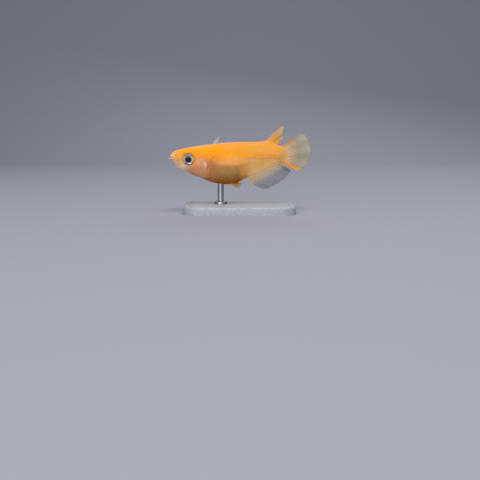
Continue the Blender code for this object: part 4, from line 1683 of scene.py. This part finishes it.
def web_finish(name, colours, alphas, patches=()):
    """A membrane, with its colours near the body, beyond it and at its edge, and coloured parts."""
    finish = Finish(name)
    vector = finish.coordinates()[0]
    out = finish.attribute("out")
    streaks = finish.noise(vector, 0.5, 3)
    shifted = finish.math("SUBTRACT", out, STREAKS / 2)
    level = finish.math("MULTIPLY_ADD", streaks, STREAKS, shifted)
    colour = finish.ramp(level, list(zip(WEB_STOPS, colours)))
    for patch, across, reach, strength in patches:
        colour = finish.blend(colour, patch, finish.part_of_fin(across, reach, strength))
    finish.set("Base Color", colour)
    finish.set("Roughness", 0.32)
    clear = finish.step(level, 0.0, 0.5)
    alpha = finish.math("MULTIPLY_ADD", clear, alphas[1] - alphas[0], alphas[0])
    for _, across, reach, strength in patches:
        alpha = finish.math("MAXIMUM", alpha, finish.part_of_fin(across, reach, strength))
    finish.set("Alpha", alpha)
    finish.set("Specular IOR Level", 0.3)
    finish.bump(finish.noise(vector, 0.3, 3), 0.01, 0.3)
    return finish.material


def ray_finish(name, colours, alphas, patches=()):
    """Rays of many short segments, coloured and clear like the membrane that they carry."""
    finish = Finish(name)
    vector = finish.coordinates()[0]
    out = finish.attribute("out")
    colour = finish.ramp(out, list(zip(RAY_STOPS, colours)))
    joints = finish.math("SINE", finish.math("MULTIPLY", out, RAY_JOINTS))
    joints = finish.math("MULTIPLY", finish.step(joints, 0.6, 1.0), finish.step(out, 0.3, 0.5))
    colour = finish.blend(colour, linear(120, 100, 80), finish.math("MULTIPLY", joints, 0.10))
    for patch, across, reach, strength in patches:
        colour = finish.blend(colour, patch, finish.part_of_fin(across, reach, strength))
    finish.set("Base Color", colour)
    finish.set("Roughness", 0.38)
    clear = finish.step(out, 0.1, 0.6)
    finish.set("Alpha", finish.math("MULTIPLY_ADD", clear, alphas[1] - alphas[0], alphas[0]))
    finish.set("Specular IOR Level", 0.3)
    finish.bump(finish.noise(vector, 0.1, 2), 0.005, 0.3)
    return finish.material


class RICEFISH_OT_middle_fins(bpy.types.Operator):
    """Build the dorsal, anal and caudal fins"""

    bl_idname = "ricefish.middle_fins"
    bl_label = "Build middle fins"

    def execute(self, context):
        fins = context.scene.ricefish_fins
        self.add_dorsal(fins)
        self.add_anal(fins)
        self.add_caudal(fins)
        return {"FINISHED"}

    def add_dorsal(self, fins):
        web = (fins.orange, DORSAL_MIDDLE, DORSAL_TIP)
        rays = (fins.orange, DORSAL_RAY, DORSAL_TIP)
        finishes = [
            web_finish("dorsal_web", web, (0.95, 0.74), [DORSAL_FRONT]),
            ray_finish("dorsal_rays", rays, (0.95, 0.7), [DORSAL_FRONT]),
        ]
        bm = build_fin(dorsal_fin(), fins, notch=0.05, forks=1, reach=0.03, stout=1.1, outer=1.2)
        to_object(bm, "fish_dorsal_fin", finishes, ["dorsal_fin"])

    def add_anal(self, fins):
        finishes = [
            web_finish("anal_web", ANAL_WEB, (0.75, 0.40), [ANAL_FRONT, ANAL_REAR]),
            ray_finish("anal_rays", ANAL_RAY, (0.9, 0.88), [ANAL_FRONT]),
        ]
        bm = build_fin(anal_fin(), fins, notch=0.05, forks=0, reach=0.04, stout=1.55)
        to_object(bm, "fish_anal_fin", finishes, ["anal_fin"])

    def add_caudal(self, fins):
        foot = Patch(fins.edge, CAUDAL_FOOT_ACROSS, CAUDAL_FOOT_OUT, 1.0)
        patches = [CAUDAL_TOP, CAUDAL_CORNER, foot]
        web = (CAUDAL_NEAR, fins.clear, CAUDAL_TIP)
        rays = (CAUDAL_RAY_NEAR, fins.pale, CAUDAL_TIP)
        finishes = [
            web_finish("caudal_web", web, (0.95, 0.55), patches),
            ray_finish("caudal_rays", rays, (0.95, 0.62), patches),
        ]
        bm = build_fin(caudal_fin(), fins, notch=0.012, forks=2, reach=0.008, outer=1.7)
        to_object(bm, "fish_caudal_fin", finishes, ["caudal_fin"])


class RICEFISH_OT_paired_fins(bpy.types.Operator):
    """Build the pectoral and pelvic fins"""

    bl_idname = "ricefish.paired_fins"
    bl_label = "Build paired fins"

    def execute(self, context):
        fins = context.scene.ricefish_fins
        finishes = {
            "left": [
                web_finish("near_web", NEAR_FIN, (0.07, 0.05)),
                ray_finish("near_rays", NEAR_FIN, (0.13, 0.13)),
            ],
            "right": [
                web_finish("far_web", FAR_FIN, (0.50, 0.50)),
                ray_finish("far_rays", FAR_FIN, (0.8, 0.7)),
            ],
        }
        for hand, finish in finishes.items():
            bm = build_fin(pectoral_fin(hand), fins, notch=0.03, forks=1, stout=0.62)
            to_object(bm, "fish_pectoral_fin_" + hand, finish, ["pectoral_fin_" + hand])
        rays = (PELVIC_WEB[0], PELVIC_RAY_MIDDLE, PELVIC_WEB[2])
        orange = [
            web_finish("pelvic_web", PELVIC_WEB, (0.92, 0.65)),
            ray_finish("pelvic_rays", rays, (0.9, 0.7)),
        ]
        for side, hand in ((-1, "left"), (1, "right")):
            bm = build_fin(pelvic_fin(side), fins, notch=0.05, forks=1, stout=0.8)
            to_object(bm, "fish_pelvic_fin_" + hand, orange, ["pelvic_fin_" + hand])
        return {"FINISHED"}


# Stand


def build_plate():
    """The plate: a rounded slab with a soft rim and a fine groove inside it."""
    bm = bmesh.new()
    bmesh.ops.create_cube(bm, size=1)
    bmesh.ops.scale(bm, verts=bm.verts, vec=Vector(BASE_SIZE) * MM)
    bmesh.ops.translate(bm, verts=bm.verts, vec=(0, 0, BASE_SIZE[2] / 2 * MM))
    upright = [edge for edge in bm.edges if abs(edge.verts[0].co.z - edge.verts[1].co.z) > MM]
    bevel(bm, upright, BASE_CORNER, BASE_SEGMENTS[0])
    lid = max(bm.faces, key=lambda face: face.calc_center_median().z)
    bevel(bm, list(lid.edges), BASE_EDGE, BASE_SEGMENTS[1])
    lid = max(bm.faces, key=lambda face: face.calc_center_median().z)
    for inward, down in GROOVE:
        bmesh.ops.inset_region(bm, faces=[lid], thickness=inward * MM, depth=down * MM)
    return bm


def build_rod():
    """The rod: one turned profile with a collar at its foot, its top inside the belly."""
    foot = BASE_SIZE[2] - COLLAR_SINK - AXIS_HEIGHT
    collar = foot + COLLAR_HEIGHT
    top = smooth(COLUMNS[UNDERSIDE], ROD_PLACE) + ROD_SINK
    profile = [(0.0, foot), (COLLAR_RADIUS, foot)]
    profile += [(COLLAR_RADIUS + out, collar + up) for out, up in COLLAR_ROUND]
    profile += [(ROD_RADIUS + out, collar + up) for out, up in ROD_NECK]
    profile += [(ROD_RADIUS, top - ROD_ROUND), (ROD_RADIUS - ROD_ROUND, top), (0.0, top)]
    bm = bmesh.new()
    verts = [bm.verts.new(place(ROD_PLACE + radius, 0, height)) for radius, height in profile]
    edges = [bm.edges.new(pair) for pair in zip(verts, verts[1:])]
    bmesh.ops.spin(
        bm,
        geom=verts + edges,
        cent=place(ROD_PLACE, 0, 0),
        axis=(0, 0, 1),
        angle=2 * math.pi,
        steps=ROD_STEPS,
        use_merge=True,
    )
    bmesh.ops.remove_doubles(bm, verts=bm.verts, dist=0.001 * MM)
    return bm


def plate_finish(colours):
    finish = Finish("stand_plate")
    vector = finish.coordinates()[0]
    speck = finish.noise(vector, 0.35, 4)
    cloud = finish.noise(vector, 6.0, 2)
    colour = finish.blend(colours.plate, linear(176, 178, 184), finish.step(speck, 0.35, 0.75))
    colour = finish.blend(colour, linear(132, 135, 142), finish.math("MULTIPLY", cloud, 0.25))
    finish.set("Base Color", colour)
    finish.set("Roughness", finish.math("MULTIPLY_ADD", speck, 0.14, 0.42))
    finish.bump(speck, 0.02, 0.35)
    return finish.material


def rod_finish(colours):
    finish = Finish("stand_rod")
    vector = finish.coordinates()[0]
    turned = finish.noise(vector, 0.08, 2, stretch=(60, 60, 1))
    colour = finish.blend(colours.steel, linear(140, 142, 148), finish.math("MULTIPLY", turned, 0.4))
    finish.set("Base Color", colour)
    finish.set("Metallic", 1.0)
    finish.set("Roughness", finish.math("MULTIPLY_ADD", turned, 0.14, 0.36))
    finish.bump(turned, 0.008, 0.3)
    return finish.material


class RICEFISH_OT_stand(bpy.types.Operator):
    """Build the display stand"""

    bl_idname = "ricefish.stand"
    bl_label = "Build stand"

    def execute(self, context):
        colours = context.scene.ricefish_stand
        finishes = [plate_finish(colours)]
        plate = to_object(build_plate(), "stand_plate", finishes, ["stand_base"])
        plate.data.set_sharp_from_angle(angle=math.radians(30))
        finishes = [rod_finish(colours)]
        rod = to_object(build_rod(), "stand_pillar", finishes, ["stand_rod"])
        rod.data.set_sharp_from_angle(angle=math.radians(40))
        return {"FINISHED"}


# Studio


def add_light(name, power, size, position):
    """A soft light that faces the fish."""
    lamp = bpy.data.lights.new(name, "AREA")
    lamp.energy = power
    lamp.shape = "RECTANGLE"
    lamp.size, lamp.size_y = size
    made = bpy.data.objects.new(name, lamp)
    bpy.context.scene.collection.objects.link(made)
    made.location = position
    aim = Vector((0, 0, AXIS_HEIGHT * MM)) - Vector(position)
    made.rotation_euler = aim.to_track_quat("-Z", "Y").to_euler()


class RICEFISH_OT_stage(bpy.types.Operator):
    """Set up the floor, the backdrop, the lights and the camera"""

    bl_idname = "ricefish.stage"
    bl_label = "Set up studio"

    def execute(self, context):
        stage = context.scene.ricefish_stage
        self.add_floor(stage)
        self.add_lights(context, stage)
        self.add_camera(context, stage)
        context.scene.view_settings.view_transform = "Standard"
        context.scene.view_settings.look = "None"
        return {"FINISHED"}

    def add_floor(self, stage):
        """A pale sheet that runs flat under the stand and curves up behind it."""
        bm = bmesh.new()
        line = [(-FLOOR_REACH, 0.0), (SWEEP_START, 0.0)]
        for share in shares(SWEEP_STEPS):
            angle = math.pi / 2 * share
            back = SWEEP_START + SWEEP_RADIUS * math.sin(angle)
            line.append((back, SWEEP_RADIUS * (1 - math.cos(angle))))
        line.append((SWEEP_START + SWEEP_RADIUS, WALL_HEIGHT))
        verts = [bm.verts.new((-FLOOR_REACH, y, z)) for y, z in line]
        edges = [bm.edges.new(pair) for pair in zip(verts, verts[1:])]
        made = bmesh.ops.extrude_edge_only(bm, edges=edges)
        moved = [item for item in made["geom"] if isinstance(item, bmesh.types.BMVert)]
        bmesh.ops.translate(bm, verts=moved, vec=(2 * FLOOR_REACH, 0, 0))
        mesh = bpy.data.meshes.new("studio_floor")
        bm.to_mesh(mesh)
        bm.free()
        mesh.shade_smooth()
        finish = Finish("studio_floor")
        finish.set("Base Color", stage.floor)
        finish.set("Roughness", 0.85)
        mesh.materials.append(finish.material)
        floor = bpy.data.objects.new("studio_floor", mesh)
        bpy.context.scene.collection.objects.link(floor)

    def add_lights(self, context, stage):
        for name, (share, size, position) in LIGHTS.items():
            add_light(name, stage.light * share, size, position)
        world = bpy.data.worlds.new("studio_air")
        world.use_nodes = True
        air = world.node_tree.nodes["Background"]
        air.inputs["Color"].default_value = AIR_COLOUR
        air.inputs["Strength"].default_value = AIR_STRENGTH
        context.scene.world = world

    def add_camera(self, context, stage):
        """The photograph's framing: the fish small, left of centre and in the upper half."""
        camera = bpy.data.cameras.new("camera")
        camera.sensor_width = 36.0
        camera.sensor_fit = "HORIZONTAL"
        above_axis = stage.height - AXIS_HEIGHT * MM
        fish_angle = math.atan(FISH_ABOVE_MIDDLE * VIEW_WIDTH * MM / stage.distance)
        depth = math.hypot(stage.distance, above_axis) * math.cos(fish_angle)
        camera.lens = camera.sensor_width * depth / (VIEW_WIDTH * MM)
        camera.clip_start = 0.005
        made = bpy.data.objects.new("camera", camera)
        context.scene.collection.objects.link(made)
        made.location = (VIEW_SHIFT * MM, -stage.distance, stage.height)
        down = math.atan(above_axis / stage.distance)
        made.rotation_euler = (math.pi / 2 - fish_angle - down, 0, 0)
        context.scene.camera = made


class RICEFISH_PT_panel(bpy.types.Panel):
    """Lists the steps that build the model"""

    bl_idname = "RICEFISH_PT_panel"
    bl_label = "Ricefish"
    bl_space_type = "VIEW_3D"
    bl_region_type = "UI"
    bl_category = "Ricefish"

    def draw(self, context):
        for step in STEPS:
            self.layout.operator(step.bl_idname)


STEPS = (
    RICEFISH_OT_stage,
    RICEFISH_OT_skin,
    RICEFISH_OT_scales,
    RICEFISH_OT_eyes,
    RICEFISH_OT_middle_fins,
    RICEFISH_OT_paired_fins,
    RICEFISH_OT_stand,
)
SETTINGS = {
    "ricefish_skin": RicefishSkin,
    "ricefish_scales": RicefishScales,
    "ricefish_eyes": RicefishEyes,
    "ricefish_fins": RicefishFins,
    "ricefish_stand": RicefishStand,
    "ricefish_stage": RicefishStage,
}


def register():
    for group in SETTINGS.values():
        bpy.utils.register_class(group)
    for name, group in SETTINGS.items():
        setattr(bpy.types.Scene, name, bpy.props.PointerProperty(type=group))
    for step in STEPS:
        bpy.utils.register_class(step)
    bpy.utils.register_class(RICEFISH_PT_panel)


def unregister():
    bpy.utils.unregister_class(RICEFISH_PT_panel)
    for step in reversed(STEPS):
        bpy.utils.unregister_class(step)
    for name, group in reversed(SETTINGS.items()):
        delattr(bpy.types.Scene, name)
        bpy.utils.unregister_class(group)


def main():
    register()
    bpy.ops.ricefish.stage()
    bpy.ops.ricefish.skin()
    bpy.ops.ricefish.scales()
    bpy.ops.ricefish.eyes()
    bpy.ops.ricefish.middle_fins()
    bpy.ops.ricefish.paired_fins()
    bpy.ops.ricefish.stand()


if __name__ == "__main__":
    main()
